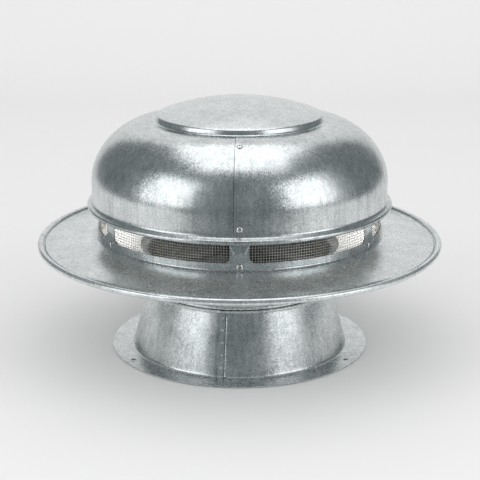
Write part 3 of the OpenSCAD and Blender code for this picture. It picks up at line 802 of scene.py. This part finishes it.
@dataclass
class Neck(Shell):
    """Flange and cone of one sheet, with a lap seam up the front and a split across the flange."""

    foot_r: float = 177.0 * MM
    top_r: float = 150.4 * MM
    cone_low: float = 1.2 * MM
    fillet: float = 5.6 * MM
    hem: float = 1.6 * MM
    bolt_circle: float = 198.0 * MM
    bolt_hole: float = 4.0 * MM
    seam_left: float = -11.4
    seam_right: float = -8.2
    flange_split: float = -10.45
    welds: int = 5
    weld_reach: Point = (16.0 * MM, 92.0 * MM)
    weld_proud: float = 1.55 * MM

    def __post_init__(self) -> None:
        """Takes the flange's radius and the neck's height from the frame."""
        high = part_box("neck")[1]
        self.flange_r = high.x
        self.top_z = high.z - self.hem - self.sheet / 2

    def slope(self) -> float:
        """Angle of the cone from upright, in radians."""
        return math.atan2(self.foot_r - self.top_r, self.top_z - self.cone_low)

    def wall_r(self, height: float) -> float:
        """Mid-sheet radius of the cone at a height."""
        return self.foot_r - (height - self.cone_low) * math.tan(self.slope())

    def path(self) -> list[Point]:
        """Mid-sheet path from the flange's rim to the hem at the top."""
        lean = math.degrees(self.slope())
        fillet_z = self.sheet / 2 + self.fillet
        centre = (self.wall_r(fillet_z) + self.fillet / math.cos(self.slope()), fillet_z)
        top = (self.top_r + self.hem, self.top_z)
        path = [(self.flange_r, self.sheet / 2)]
        path += arc(centre, self.fillet, 270, 180 + lean, 10)
        path += arc(top, self.hem, 180, -40, 12)
        return refine(path, 5 * MM)

    def lift(self, azimuth: float, radius: float, height: float) -> float:
        """Offset of the sheet: the seam's raised strip, the flange's lapped end, and dents."""
        out = -dents(azimuth, radius, height, (0.35 * MM, 70 * MM))
        on_flange = smooth((radius - self.foot_r) / (6 * MM))
        strip = 1.0 if self.seam_left < azimuth < self.seam_right else 0.0
        left = max(0.0, 1 - abs(azimuth - self.seam_left + 0.2) / 0.2)
        right = max(0.0, 1 - abs(azimuth - self.seam_right - 0.2) / 0.2)
        lap = 1 - smooth((azimuth - self.flange_split) / 9) if azimuth > self.flange_split else 0.0
        cone = 0.7 * MM * strip - MM * (1.2 * left + 1.8 * right)
        return out - (1 - on_flange) * cone - on_flange * lap * 1.3 * MM

    def build(self, around: Tree, row: Tree) -> None:
        """Builds the neck, drills its flange and sets the spot welds up its seam."""
        seams = (self.seam_left, self.seam_right, self.flange_split)
        spun = SpunSheet("neck_shell", self.path(), self.sheet, 300, seams, self.lift)
        piece = spun.build()
        drill = cylinder_piece("flange_drill", self.bolt_hole, 12 * MM, 32)
        holes = around.make(
            "flange_drills", Shade.FLAT, Piece=drill, Count=6, Radius=self.bolt_circle, Height=0.0,
            First=math.radians(-90.0), Material=self.palette[self.slot])
        cut(piece, holes)
        bpy.data.objects.remove(drill)
        back = back_drills(self.wall_r, self.slope())
        cut(piece, back)
        shade(piece.data, Shade.SHEET)
        settle(dress(piece, self.palette[self.slot]), HEAD, self.slot, ["neck"])
        self.spot_welds(row)

    def spot_welds(self, row: Tree) -> None:
        """Sets a row of small pressed spots up the seam."""
        spot = dome_piece("weld_spot", 2.3 * MM, 0.45 * MM)
        azimuth = (self.seam_left + self.seam_right) / 2
        low, high = (
            on_turn(azimuth, self.wall_r(height) + self.weld_proud, height) for height in self.weld_reach)
        piece = row.make(
            "neck_spot_welds", Shade.ROUND, Piece=spot, Count=self.welds, Start=low, End=high,
            Turn=(0.0, -self.slope(), math.radians(azimuth - 90)), Material=self.palette[self.slot])
        bpy.data.objects.remove(spot)
        settle(piece, HEAD, self.slot)


@dataclass
class ThroatPlate(Shell):
    """Throat tube with a bead, a bell mouth and a funnel floor out to the vent ring."""

    tube_r: float = 148.8 * MM
    bead_r: float = 2.4 * MM
    bead_z: float = 106.2 * MM
    bell: float = 12.0 * MM
    bell_z: float = 156.0 * MM
    floor_rise: float = 14.0 * MM

    def path(self) -> list[Point]:
        """Mid-sheet path from the tube's lower end to the collar behind the vent ring."""
        low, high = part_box("throat_plate")
        rim_r = high.x - 1.1 * MM
        floor_z = high.z - self.floor_rise
        slope = math.atan2(floor_z - self.bell_z - self.bell, rim_r - self.tube_r - self.bell)
        path = [(self.tube_r, low.z), (self.tube_r, self.bead_z - 3.2 * MM)]
        path += arc((self.tube_r + 0.4 * MM, self.bead_z), self.bead_r, -70, 70, 8)
        path += [(self.tube_r, self.bead_z + 3.2 * MM)]
        path += arc((self.tube_r + self.bell, self.bell_z), self.bell, 180, 90 + math.degrees(slope), 14)
        path += [(rim_r, floor_z), (rim_r + 0.6 * MM, high.z)]
        return refine(path, 8 * MM)

    def lift(self, azimuth: float, radius: float, height: float) -> float:
        """Offset of the sheet: dents only."""
        return dents(azimuth, radius, height, (0.3 * MM, 60 * MM))

    def build(self) -> None:
        """Builds the plate; the funnel floor's upper faces get a near-white finish, a painted reflection of
        the light let in by the vent slots.
        """
        piece = self.spin("throat_shell", "throat_plate", 240)
        piece.data.materials.append(self.palette["throat_floor_painted_light"])
        # Upward faces of the funnel floor take the pale finish: painted light for the light from the slots
        # falling on it.
        inner = self.tube_r + self.bell
        for face in piece.data.polygons:
            if face.normal.z > 0.3 and math.hypot(face.center.x, face.center.y) > inner:
                face.material_index = 1


@dataclass
class Brim(Shell):
    """Wide shallow cone with a rolled and wired edge."""

    roll: float = 4.4 * MM
    ridge_in: float = 9.0 * MM
    collar_drop: float = 11.0 * MM

    def __post_init__(self) -> None:
        """Takes the roll's place and the collar from the frame."""
        low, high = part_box("brim_edge_wire")
        self.roll_r = high.x - (high.z - low.z) / 2
        self.roll_z = (low.z + high.z) / 2
        self.collar_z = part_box("brim")[1].z
        self.collar_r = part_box("mesh_screen")[1].x - 2.4 * MM

    def path(self) -> list[Point]:
        """Mid-sheet path from the inner collar to the end of the roll."""
        ridge_r = self.roll_r - self.ridge_in
        path = [(self.collar_r, self.collar_z), (self.collar_r, self.collar_z - self.collar_drop)]
        path += [(ridge_r - 2.5 * MM, self.roll_z - 0.5 * MM)]
        path += arc((ridge_r, self.roll_z - 1 * MM), 1.8 * MM, 150, 30, 6)
        path += [(ridge_r + 2.8 * MM, self.roll_z - 2.2 * MM)]
        path += arc((self.roll_r, self.roll_z), self.roll, 200, -110, 26)
        return refine(path, 6 * MM)

    def lift(self, azimuth: float, radius: float, height: float) -> float:
        """Offset of the sheet: broad waves across the cone that fade at both edges."""
        inside = smooth((radius - self.collar_r) / (12 * MM))
        outside = smooth((self.roll_r - self.ridge_in - radius) / (14 * MM))
        waves = dents(azimuth, radius, height, (0.8 * MM, 110 * MM), (0.25 * MM, 35 * MM))
        return waves * inside * outside

    def build(self) -> None:
        """Builds the brim."""
        self.spin("brim_shell", "brim", look="brim_sheet")


@dataclass
class Dome(Shell):
    """Hood with a wired hem, a lapped front seam and a superelliptic shoulder."""

    shoulder_z: float = 281.0 * MM
    shoulder_in: float = 144.0 * MM
    exponent: float = 1.83
    hem: float = 4.6 * MM
    hem_edge: float = 3.1 * MM
    wire: float = 1.6 * MM
    wire_sheet: float = 0.8 * MM
    ledge: tuple[Point, ...] = ((2.3, 3.5), (1.1, 4.5), (0.3, 6.0), (0.0, 8.0))
    lip_drop: float = 6.2 * MM
    seam: float = -2.05
    lap: float = 9.0
    corner: float = 5.8 * MM

    def __post_init__(self) -> None:
        """Takes the hem's place, the wall and the top from the frame."""
        low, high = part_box("dome_hem_wire")
        self.hem_r = high.x - (high.z - low.z) / 2
        self.hem_z = (low.z + high.z) / 2
        self.edge = (self.hem_r + self.hem - self.hem_edge, self.hem_z - 1.4 * MM)
        self.wall_r = self.hem_r - 3.3 * MM
        self.lip_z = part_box("dome")[1].z
        self.top_z = self.lip_z - self.lip_drop
        self.lip_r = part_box("crown_cap")[1].x - 2 * MM

    def shoulder(self, turn: float) -> Point:
        """Point on the shoulder, turn from 0 at the wall to 90 at the top."""
        a = math.radians(turn)
        reach, rise = self.wall_r - self.shoulder_in, self.top_z - self.shoulder_z
        return (
            self.shoulder_in + reach * max(math.cos(a), 0.0) ** (2 / self.exponent),
            self.shoulder_z + rise * math.sin(a) ** (2 / self.exponent))

    def path(self) -> list[Point]:
        """Mid-sheet path from the end of the hem to the lip under the crown."""
        path = arc(self.edge, self.hem_edge, -150, 72, 20)
        path += [(self.wall_r + r * MM, self.hem_z + z * MM) for r, z in self.ledge]
        path += [self.shoulder(i * 90 / 56) for i in range(57)]
        path += arc((self.lip_r + self.corner, self.top_z + self.corner), self.corner, 270, 180, 6)
        path += [(self.lip_r, self.lip_z)]
        return refine(path, 5 * MM)

    def lift(self, azimuth: float, radius: float, height: float) -> float:
        """Offset of the sheet: the front lap, a groove beside it, and dents."""
        beyond = azimuth - self.seam
        lap = 1.1 * MM * (1 - smooth(beyond / self.lap)) if beyond > 0 else 0.0
        groove = 1.2 * MM * max(0.0, 1 - abs(beyond + 0.13) / 0.12)
        hem = smooth((height - self.hem_z - 4 * MM) / (8 * MM))
        top = smooth((radius - self.lip_r - self.corner) / (3 * MM))
        waves = dents(azimuth, radius, height, (0.5 * MM, 95 * MM), (0.12 * MM, 30 * MM))
        overlap = lap * (0.45 + 0.55 * hem) * top
        return waves * hem * top - overlap + groove * (0.5 + 0.5 * hem) * (0.4 + 0.6 * top)

    def build(self) -> None:
        """Builds the dome and the wire in its hem."""
        self.spin("dome_shell", "dome", seams=(self.seam,))
        core = SpunSheet("hem_core", arc(self.edge, self.wire, -178, 178, 18), self.wire_sheet, 300).build()
        settle(dress(core, self.palette["edge_wire"]), HEAD, self.slot, ["dome_hem_wire"])


@dataclass
class CrownCap(Shell):
    """Low domed cap with a turned-down rim."""

    rise: float = 26.4 * MM
    corner: float = 4.0 * MM
    skirt: float = 3.2 * MM
    skirt_lean: float = 20.0

    def __post_init__(self) -> None:
        """Takes the cap's edge and top from the frame."""
        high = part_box("crown_cap")[1]
        self.edge_r, self.top_z = high.x, high.z

    def path(self) -> list[Point]:
        """Mid-sheet path from the skirt's lower edge over the rounded rim to the pole."""
        half = self.sheet / 2
        rim_r = self.edge_r - half
        ball = (self.edge_r ** 2 + self.rise ** 2) / (2 * self.rise)
        low = math.radians(self.skirt_lean)
        edge = math.acos((rim_r - self.corner) / ball)
        reach = self.skirt * math.sin(low) + self.corner * (math.cos(low) - math.cos(edge))
        start_r = rim_r - reach
        edge = math.acos(start_r / ball)
        ball_z = self.top_z - half - ball
        turn = (start_r - self.corner * math.cos(edge), ball_z + (ball - self.corner) * math.sin(edge))
        bend = arc(turn, self.corner, self.skirt_lean, math.degrees(edge), 8)
        foot = (bend[0][0] + self.skirt * math.sin(low), bend[0][1] - self.skirt * math.cos(low))
        path = [foot] + bend + arc((0.0, ball_z), ball, math.degrees(edge), 90, 40)[1:]
        return refine(path, 5 * MM)

    def lift(self, azimuth: float, radius: float, height: float) -> float:
        """Offset of the sheet: broad shallow dents."""
        inside = smooth((self.edge_r - radius) / (20 * MM))
        waves = dents(azimuth, radius, height, (0.45 * MM, 80 * MM))
        return waves * inside * smooth(radius / (25 * MM))

    def build(self) -> None:
        """Builds the cap."""
        self.spin("crown_shell", "crown_cap", 240, look="crown_sheet")


@dataclass
class VentRing(Shell):
    """Slotted band with pressed posts, joggled out at the top into the dome."""

    slots: int = 6
    post: float = 28.0 * MM
    chamfer: float = 6.5 * MM
    slot_low: float = 206.2 * MM
    slot_high: float = 236.5 * MM
    form: float = 1.1 * MM
    form_side: float = 3.4 * MM
    form_rise: float = 14.3 * MM
    form_top: float = 12.0 * MM
    post_steps: int = 30
    slot_steps: int = 24
    weld: float = 0.02 * MM

    def __post_init__(self) -> None:
        """Takes the band's radius and heights from the frame."""
        low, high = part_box("vent_ring")
        self.mid_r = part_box("mesh_screen")[1].x + 1.4 * MM - self.sheet / 2
        self.foot_z, self.top_z = low.z, high.z
        self.top_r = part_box("dome_hem_wire")[1].x - 8.94 * MM

    def band_r(self, height: float) -> float:
        """Mid-sheet radius of the band at a height: flared foot, straight wall, joggled top."""
        foot = 3.4 * MM * max(0.0, 1 - (height - self.foot_z) / (4.2 * MM)) ** 2
        joggle = smooth((height - self.slot_high - 8 * MM) / (10 * MM))
        return self.mid_r + foot + (self.top_r - self.mid_r) * joggle

    def half_post(self, height: float) -> float:
        """Half the width of a post at a height, measured round the band."""
        low = max(0.0, self.slot_low + self.chamfer - height)
        high = max(0.0, height - self.slot_high + 4 * MM) * 0.8
        return self.post / 2 + low + high

    def pressed(self, across: float, height: float) -> float:
        """Depth of the form pressed out of a post, at a place on it."""
        up = height - self.slot_low
        top = self.slot_high + 3 * MM
        foot = self.post / 2 + self.chamfer - 1.5 * MM
        lower = self.form * up / self.form_rise
        upper = self.form * (top - height) / (top - self.slot_low - self.form_rise)
        lean = (foot - self.form_top / 2) / self.form_rise
        if up < self.form_rise:
            flat = foot - lean * up
        else:
            flat = self.form_top / 2 + 0.5 * lean * (up - self.form_rise)
        side = self.form * (1 - (abs(across) - flat) / self.form_side)
        return max(0.0, min(lower, upper, side, self.form))

    def build(self) -> None:
        """Builds the band from strips of quads, post by post, and gives it its thickness."""
        bm = bmesh.new()
        period = math.tau * self.mid_r / self.slots

        def levels(low: float, high: float, steps: int) -> list[float]:
            """Heights from low to high."""
            return [low + (high - low) * i / steps for i in range(steps + 1)]

        def across(half: float) -> list[float]:
            """Places over a post's width, from its middle."""
            return [half * (-1 + 2 * i / self.post_steps) for i in range(self.post_steps + 1)]

        def place(side: float, height: float, middle: float, out: float = 0.0) -> bmesh.types.BMVert:
            """Adds a vertex at a distance round the band from a post's middle."""
            azimuth = middle + math.degrees(side / self.mid_r)
            return bm.verts.new(on_turn(azimuth, self.band_r(height) + out, height))

        def strip(rows: list[list[bmesh.types.BMVert]]) -> None:
            """Joins rows of vertices with quads."""
            for a, b in zip(rows, rows[1:]):
                for i in range(len(a) - 1):
                    bm.faces.new((a[i], a[i + 1], b[i + 1], b[i]))

        belts = (
            (levels(self.foot_z, self.slot_low, 12), self.slot_low),
            (levels(self.slot_high, self.top_z, 16), self.slot_high))
        for k in range(self.slots):
            middle = k * 360 / self.slots
            strip([
                [place(side, z, middle, self.pressed(side, z)) for side in across(self.half_post(z))]
                for z in levels(self.slot_low, self.slot_high, 26)])
            for heights, edge in belts:
                half = self.half_post(edge)
                beside = levels(half, period - half, self.slot_steps)
                under = [[(side, z, self.pressed(side, z) if z == edge else 0.0) for side in across(half)]
                         for z in heights]
                strip([[place(side, z, middle, out) for side, z, out in level] for level in under])
                strip([[place(side, z, middle) for side in beside] for z in heights])
        bmesh.ops.remove_doubles(bm, verts=bm.verts, dist=self.weld)
        bmesh.ops.recalc_face_normals(bm, faces=bm.faces)
        mesh = bpy.data.meshes.new("vent_band")
        bm.to_mesh(mesh)
        bm.free()
        piece = new_object("vent_band", mesh)
        thick = piece.modifiers.new("sheet", "SOLIDIFY")
        thick.thickness = self.sheet
        thick.offset = 0.0
        flat = applied(piece, "vent_band_shell")
        shade(flat.data, Shade.CRISP)
        settle(dress(flat, self.palette[self.slot]), HEAD, self.slot, ["vent_ring"])


@dataclass
class WireCloth:
    """Woven screen behind the slots."""

    palette: Palette
    uprights: int = 342
    wire: float = 0.35 * MM
    weave: float = 0.4 * MM

    def build(self, cloth: Tree) -> None:
        """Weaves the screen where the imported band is."""
        low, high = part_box("mesh_screen")
        radius = high.x - 0.85 * MM
        pitch = math.tau * radius / self.uprights
        hoops = int((high.z - low.z - 2 * self.wire) / pitch) + 1
        piece = cloth.make(
            "wire_cloth_ring", Shade.ROUND, Radius=radius, Low=low.z + self.wire, Pitch=pitch,
            Uprights=self.uprights, Hoops=hoops, Wire=self.wire, Weave=self.weave,
            Material=self.palette["wire_cloth"])
        settle(piece, HEAD, "wire_cloth", ["mesh_screen"])


# ---------- Fasteners ----------


def cylinder_piece(name: str, radius: float, length: float, sides: int) -> bpy.types.Object:
    """Upright cylinder about the origin, for a tool."""
    bm = bmesh.new()
    bmesh.ops.create_cone(
        bm, cap_ends=True, segments=sides, radius1=radius, radius2=radius, depth=length)
    return new_object(name, mesh_from(bm, name, Shade.ROUND))


def back_drills(
        wall_r: Callable[[float], float], lean: float, gland_r: float = 8 * MM,
        screw_r: float = 2.1 * MM) -> bpy.types.Object:
    """Drills for the gland and the two box screws in the back of the neck.

    Args:
        wall_r: Radius of the neck's wall at a height.
        lean: Angle of the wall from upright, in radians.
        gland_r: Radius of the gland's hole.
        screw_r: Radius of a screw's hole.

    Returns:
        The drills, joined in one object.
    """
    low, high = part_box("box_screws")
    screw_z = (low.z + 4 * MM, high.z - 4 * MM)
    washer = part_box("gland_washer")
    middle = (washer[0].z + washer[1].z) / 2
    bm = bmesh.new()
    for height, radius in ((middle, gland_r), (screw_z[0], screw_r), (screw_z[1], screw_r)):
        made = bmesh.ops.create_cone(
            bm, cap_ends=True, segments=32, radius1=radius, radius2=radius, depth=16 * MM)
        bmesh.ops.rotate(bm, verts=made["verts"], matrix=turn_x(math.pi / 2 - lean), cent=(0, 0, 0))
        bmesh.ops.translate(bm, verts=made["verts"], vec=(0, wall_r(height), height))
    return new_object("back_drills", mesh_from(bm, "back_drills", Shade.FLAT))


def turn_x(angle: float) -> Matrix:
    """Rotation that leans +Z towards +Y by an angle."""
    return Matrix.Rotation(-angle, 3, "X")


def lathe_piece(name: str, profile: Sequence[Point], sides: int, how: Shade) -> bpy.types.Object:
    """Small turned piece about +X, its profile in distance along X and radius.

    Args:
        name: Name of the piece.
        profile: Points as radius and place along +X, both ends on the axis.
        sides: Number of sides.
        how: How its faces meet.

    Returns:
        The piece at the origin.
    """
    bm = bmesh.new()
    rings = []
    for k in range(sides):
        a = math.tau * k / sides
        rings.append([bm.verts.new((x, r * math.cos(a), r * math.sin(a))) for r, x in profile])
    for k, ring in enumerate(rings):
        following = rings[(k + 1) % sides]
        for i in range(len(ring) - 1):
            bm.faces.new((ring[i], ring[i + 1], following[i + 1], following[i]))
    bmesh.ops.dissolve_degenerate(bm, dist=1e-7, edges=bm.edges)
    return new_object(name, mesh_from(bm, name, how))


def dome_piece(name: str, radius: float, height: float) -> bpy.types.Object:
    """Low spot with a dimple in its middle, facing +X."""
    profile = [(0.0, -height), (radius, -height)]
    profile += [(radius * (1 - 0.25 * i / 4), height * math.sin(math.pi / 2 * i / 4)) for i in range(5)]
    profile += [(radius * 0.4, height * 0.35), (0.0, height * 0.2)]
    return lathe_piece(name, profile, 20, Shade.ROUND)


@dataclass(frozen=True)
class PanScrew:
    """Pan head screw with a cross recess, its axis along +X and its head's underside at the origin."""

    head_r: float
    head_h: float
    shank_r: float
    shank_l: float
    pitch: float = 1.3 * MM

    def build(self, name: str) -> bpy.types.Object:
        """Builds the screw with a rounded head and a pointed, threaded shank."""
        root = self.shank_r * 0.72
        profile = [(0.0, -self.shank_l), (self.shank_r * 0.35, -self.shank_l + self.shank_r)]
        for i in range(int((self.shank_l - 2 * self.shank_r) / self.pitch)):
            x = -self.shank_l + self.shank_r * 1.6 + i * self.pitch
            profile += [(root, x), (self.shank_r, x + 0.5 * MM), (root, x + 1.0 * MM)]
        profile += [(self.shank_r * 0.8, 0.0), (self.head_r * 0.97, 0.0), (self.head_r, 0.18 * self.head_h)]
        for i in range(7):
            a = math.radians(12 + 78 * i / 6)
            profile.append((self.head_r * math.cos(a) ** 0.8, self.head_h * (0.25 + 0.75 * math.sin(a))))
        profile.append((0.0, self.head_h))
        screw = lathe_piece(name, profile, 28, Shade.SHEET)
        for turn in (0.0, math.pi / 2):
            bm = bmesh.new()
            bmesh.ops.create_cube(bm, size=1.0)
            for v in bm.verts:
                narrow = 0.75 if v.co.x < 0 else 1.15
                v.co = Vector((
                    self.head_h * (1.0 + v.co.x * 1.3), v.co.y * self.head_r * 1.05 * narrow,
                    v.co.z * self.head_r * 0.24 * narrow))
                v.co.y, v.co.z = (
                    v.co.y * math.cos(turn) - v.co.z * math.sin(turn),
                    v.co.y * math.sin(turn) + v.co.z * math.cos(turn))
            cut(screw, new_object("recess", mesh_from(bm, "recess", Shade.FLAT)))
        shade(screw.data, Shade.SHEET)
        return screw


@dataclass
class Fasteners:
    """Screws and rivets that hold the sheet metal together."""

    palette: Palette
    slot: str = "zinc_fastener"
    screw: PanScrew = PanScrew(4.8 * MM, 3.0 * MM, 2.0 * MM, 13 * MM)
    rivet_turn: float = 68.0
    rivet_r: float = 4.7 * MM
    rivet_proud: float = 1.7 * MM

    def ring_screws(self, around: Tree) -> None:
        """Sets one screw under each post of the vent ring."""
        low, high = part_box("ring_screws")
        piece = self.screw.build("ring_screw")
        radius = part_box("mesh_screen")[1].x + 1.5 * MM
        screws = around.make(
            "band_screws", Shade.SHEET, Piece=piece, Count=6, Radius=radius, Height=(low.z + high.z) / 2,
            First=math.radians(-90.0), Material=self.palette[self.slot])
        bpy.data.objects.remove(piece)
        settle(screws, HEAD, self.slot, ["ring_screws"])

    def rivet(self, name: str, head_r: float, head_h: float) -> bpy.types.Object:
        """Blind rivet with a round head and a sunk mandrel, its head on the +X side."""
        profile = [(0.0, -3.4 * MM), (3.2 * MM, -3.4 * MM), (3.4 * MM, -2.2 * MM), (2.4 * MM, -1.8 * MM)]
        profile += [(2.4 * MM, 0.0), (head_r, 0.0)]
        profile += [
            (head_r * math.cos(a) ** 0.7, head_h * math.sin(a))
            for a in (math.radians(15 * i) for i in range(6))]
        profile += [(1.5 * MM, head_h), (1.3 * MM, head_h * 0.45), (0.0, head_h * 0.4)]
        return lathe_piece(name, profile, 24, Shade.SHEET)

    def dome_rivets(self, dome: Dome) -> None:
        """Sets the two rivets on the dome's lap seam."""
        foot_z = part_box("dome_rivets")[0].z
        bm = bmesh.new()
        upper, upper_next = dome.shoulder(self.rivet_turn), dome.shoulder(self.rivet_turn + 1)
        lean = math.atan2(upper[0] - upper_next[0], upper_next[1] - upper[1])
        places = ((dome.wall_r + self.rivet_proud, foot_z + self.rivet_r, 0.0), (*upper, lean))
        for k, (radius, height, tilt) in enumerate(places):
            rivet = self.rivet(f"seam_rivet_{k}", self.rivet_r, 2 * MM)
            mesh = rivet.data
            out = self.rivet_proud if tilt else 0.0
            for v in mesh.vertices:
                x, y, z = v.co
                x += out
                r = radius + x * math.cos(tilt) - z * math.sin(tilt)
                v.co = (-y, -r, height + x * math.sin(tilt) + z * math.cos(tilt))
            bm.from_mesh(mesh)
            bpy.data.objects.remove(rivet)
        piece = new_object("seam_rivets", mesh_from(bm, "seam_rivets", Shade.SHEET))
        settle(dress(piece, self.palette[self.slot]), HEAD, self.slot, ["dome_rivets"])


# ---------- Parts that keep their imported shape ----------


@dataclass
class PackedParts:
    """Parts inside and below that keep the shape they were packed with."""

    palette: Palette

    def dress_all(self) -> None:
        """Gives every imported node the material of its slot."""
        slots = {part["node"]: part["material_slot"] for part in frame["record"]["subparts"]}
        for name, node in frame["nodes"].items():
            dress(node, self.palette[slots[name]])
        LOG.info("%d packed nodes dressed", len(frame["nodes"]))


# ---------- Studio ----------


@dataclass(frozen=True)
class Lamp:
    """A soft rectangular light: its middle, the place it faces, its size, and how bright its face is."""

    name: str
    place: Place
    aim: Place
    size: Point
    radiance: float
    glossy: bool = True
    diffuse: bool = True

    def build(self) -> None:
        """Adds the light to the scene."""
        data = bpy.data.lights.new(self.name, "AREA")
        data.shape = "RECTANGLE"
        data.size, data.size_y = self.size
        data.energy = self.radiance * math.pi * self.size[0] * self.size[1]
        lamp = bpy.data.objects.new(self.name, data)
        lamp.location = self.place
        lamp.rotation_euler = (Vector(self.aim) - Vector(self.place)).to_track_quat("-Z", "Y").to_euler()
        lamp.visible_glossy = self.glossy
        lamp.visible_diffuse = self.diffuse
        bpy.context.scene.collection.objects.link(lamp)


@dataclass
class Studio:
    """Pale floor that curves up behind, soft lights, and the camera."""

    camera_place: Place = (0.0, -2.0519, 0.7864)
    pitch: float = 0.29076
    lens: float = 97.15
    shift: Point = (0.0008, 0.001)
    floor_colour: Colour = (0.757, 0.757, 0.757)
    front: float = -0.6
    sweep_back: float = 0.5
    gap: float = 1.5 * MM
    half_width: float = 2.3
    curve_start: float = 2.2
    curve_r: float = 1.2
    wall_top: float = 6.0
    around: Colour = (0.185, 0.21, 0.215)
    ambient: float = 1.0
    box_turn: float = 55.0
    box_far: float = 2.3
    chamber_out: float = 0.2

    def camera(self) -> None:
        """Places the camera."""
        data = bpy.data.cameras.new("camera")
        data.lens = self.lens
        data.sensor_width = 36.0
        data.shift_x, data.shift_y = self.shift
        data.clip_end = 50.0
        camera = bpy.data.objects.new("camera", data)
        camera.location = self.camera_place
        camera.rotation_euler = (math.pi / 2 - self.pitch, 0.0, 0.0)
        bpy.context.scene.collection.objects.link(camera)
        bpy.context.scene.camera = camera

    def floor(self) -> None:
        """Builds the floor and the sweep behind it."""
        start, r = self.curve_start, self.curve_r
        turns = [math.radians(6 * i) for i in range(1, 16)]
        profile = [(start, 0.0)]
        profile += [(start + r * math.sin(a), r - r * math.cos(a)) for a in turns]
        profile += [(start + r, self.wall_top)]
        bm = bmesh.new()
        rows = []
        for x in (-self.half_width, 0.0, self.half_width):
            near = (self.front - self.sweep_back * abs(x), 0.0)
            rows.append([bm.verts.new((x, y, z - self.gap)) for y, z in [near] + profile])
        for left, right in zip(rows, rows[1:]):
            for i in range(len(profile)):
                bm.faces.new((left[i], right[i], right[i + 1], left[i + 1]))
        mesh = bpy.data.meshes.new("floor")
        bm.to_mesh(mesh)
        bm.free()
        shade(mesh, Shade.ROUND)
        floor = new_object("floor", mesh)
        material = bpy.data.materials.new("floor_paper")
        material.use_nodes = True
        shader = material.node_tree.nodes["Principled BSDF"]
        shader.inputs["Base Color"].default_value = (*self.floor_colour, 1)
        shader.inputs["Roughness"].default_value = 0.85
        shader.inputs["Specular IOR Level"].default_value = 0.2
        dress(floor, material)

    def surroundings(self) -> None:
        """Makes a dim room round the lights, with an even ambient light on matt surfaces."""
        world = bpy.data.worlds.new("studio")
        world.use_nodes = True
        nodes = Nodes(world.node_tree)
        dim = world.node_tree.nodes["Background"]
        dim.inputs[0].default_value = (*self.around, 1)
        even = nodes.node("ShaderNodeBackground", {"Color": (1, 1, 1, 1), "Strength": self.ambient})
        path = nodes.node("ShaderNodeLightPath")
        mix = nodes.node("ShaderNodeMixShader", {
            0: path.outputs["Is Diffuse Ray"], 1: dim.outputs[0], 2: even.outputs[0]})
        world.node_tree.links.new(mix.outputs[0], world.node_tree.nodes["World Output"].inputs["Surface"])
        bpy.context.scene.world = world

    def lamps(self) -> list[Lamp]:
        """The softboxes at both sides, the glow in the vent chamber, the top light and the wall's wash."""
        lamps = []
        for side, name in ((-1, "left"), (1, "right")):
            place = on_turn(side * self.box_turn, self.box_far, 1.3)
            lamps.append(Lamp(name, place, (0.0, 0.0, 1.15), (1.7, 2.1), 1.57))
            x = side * self.chamber_out
            glow = Lamp("chamber_" + name, (x, 0.0, 0.258), (x, 0.0, 0.0), (0.04, 0.14), 14.0, glossy=False)
            lamps.append(glow)
        lamps.append(Lamp("top", (0.0, 0.18, 2.7), (0.0, 0.18, 0.0), (2.3, 2.5), 1.48, diffuse=False))
        lamps.append(Lamp("wash", (0.0, 1.5, 3.0), (0.0, 3.4, 1.4), (3.6, 0.6), 1.38, glossy=False))
        return lamps

    def build(self) -> None:
        """Builds the whole studio."""
        self.camera()
        self.floor()
        for lamp in self.lamps():
            lamp.build()
        self.surroundings()
        bpy.context.scene.view_settings.view_transform = "Standard"


def main() -> None:
    """Builds the studio and every piece of the fan, in order."""
    logging.basicConfig(level=logging.INFO, format="%(name)s: %(message)s")
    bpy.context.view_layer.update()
    Studio().build()
    palette = Palette()
    around, row, cloth = around_tree(), row_tree(), cloth_tree()
    Neck(palette).build(around, row)
    ThroatPlate(palette).build()
    Brim(palette).build()
    VentRing(palette).build()
    WireCloth(palette).build(cloth)
    dome = Dome(palette)
    dome.build()
    CrownCap(palette).build()
    fasteners = Fasteners(palette)
    fasteners.ring_screws(around)
    fasteners.dome_rivets(dome)
    PackedParts(palette).dress_all()


if __name__ == "__main__":
    main()
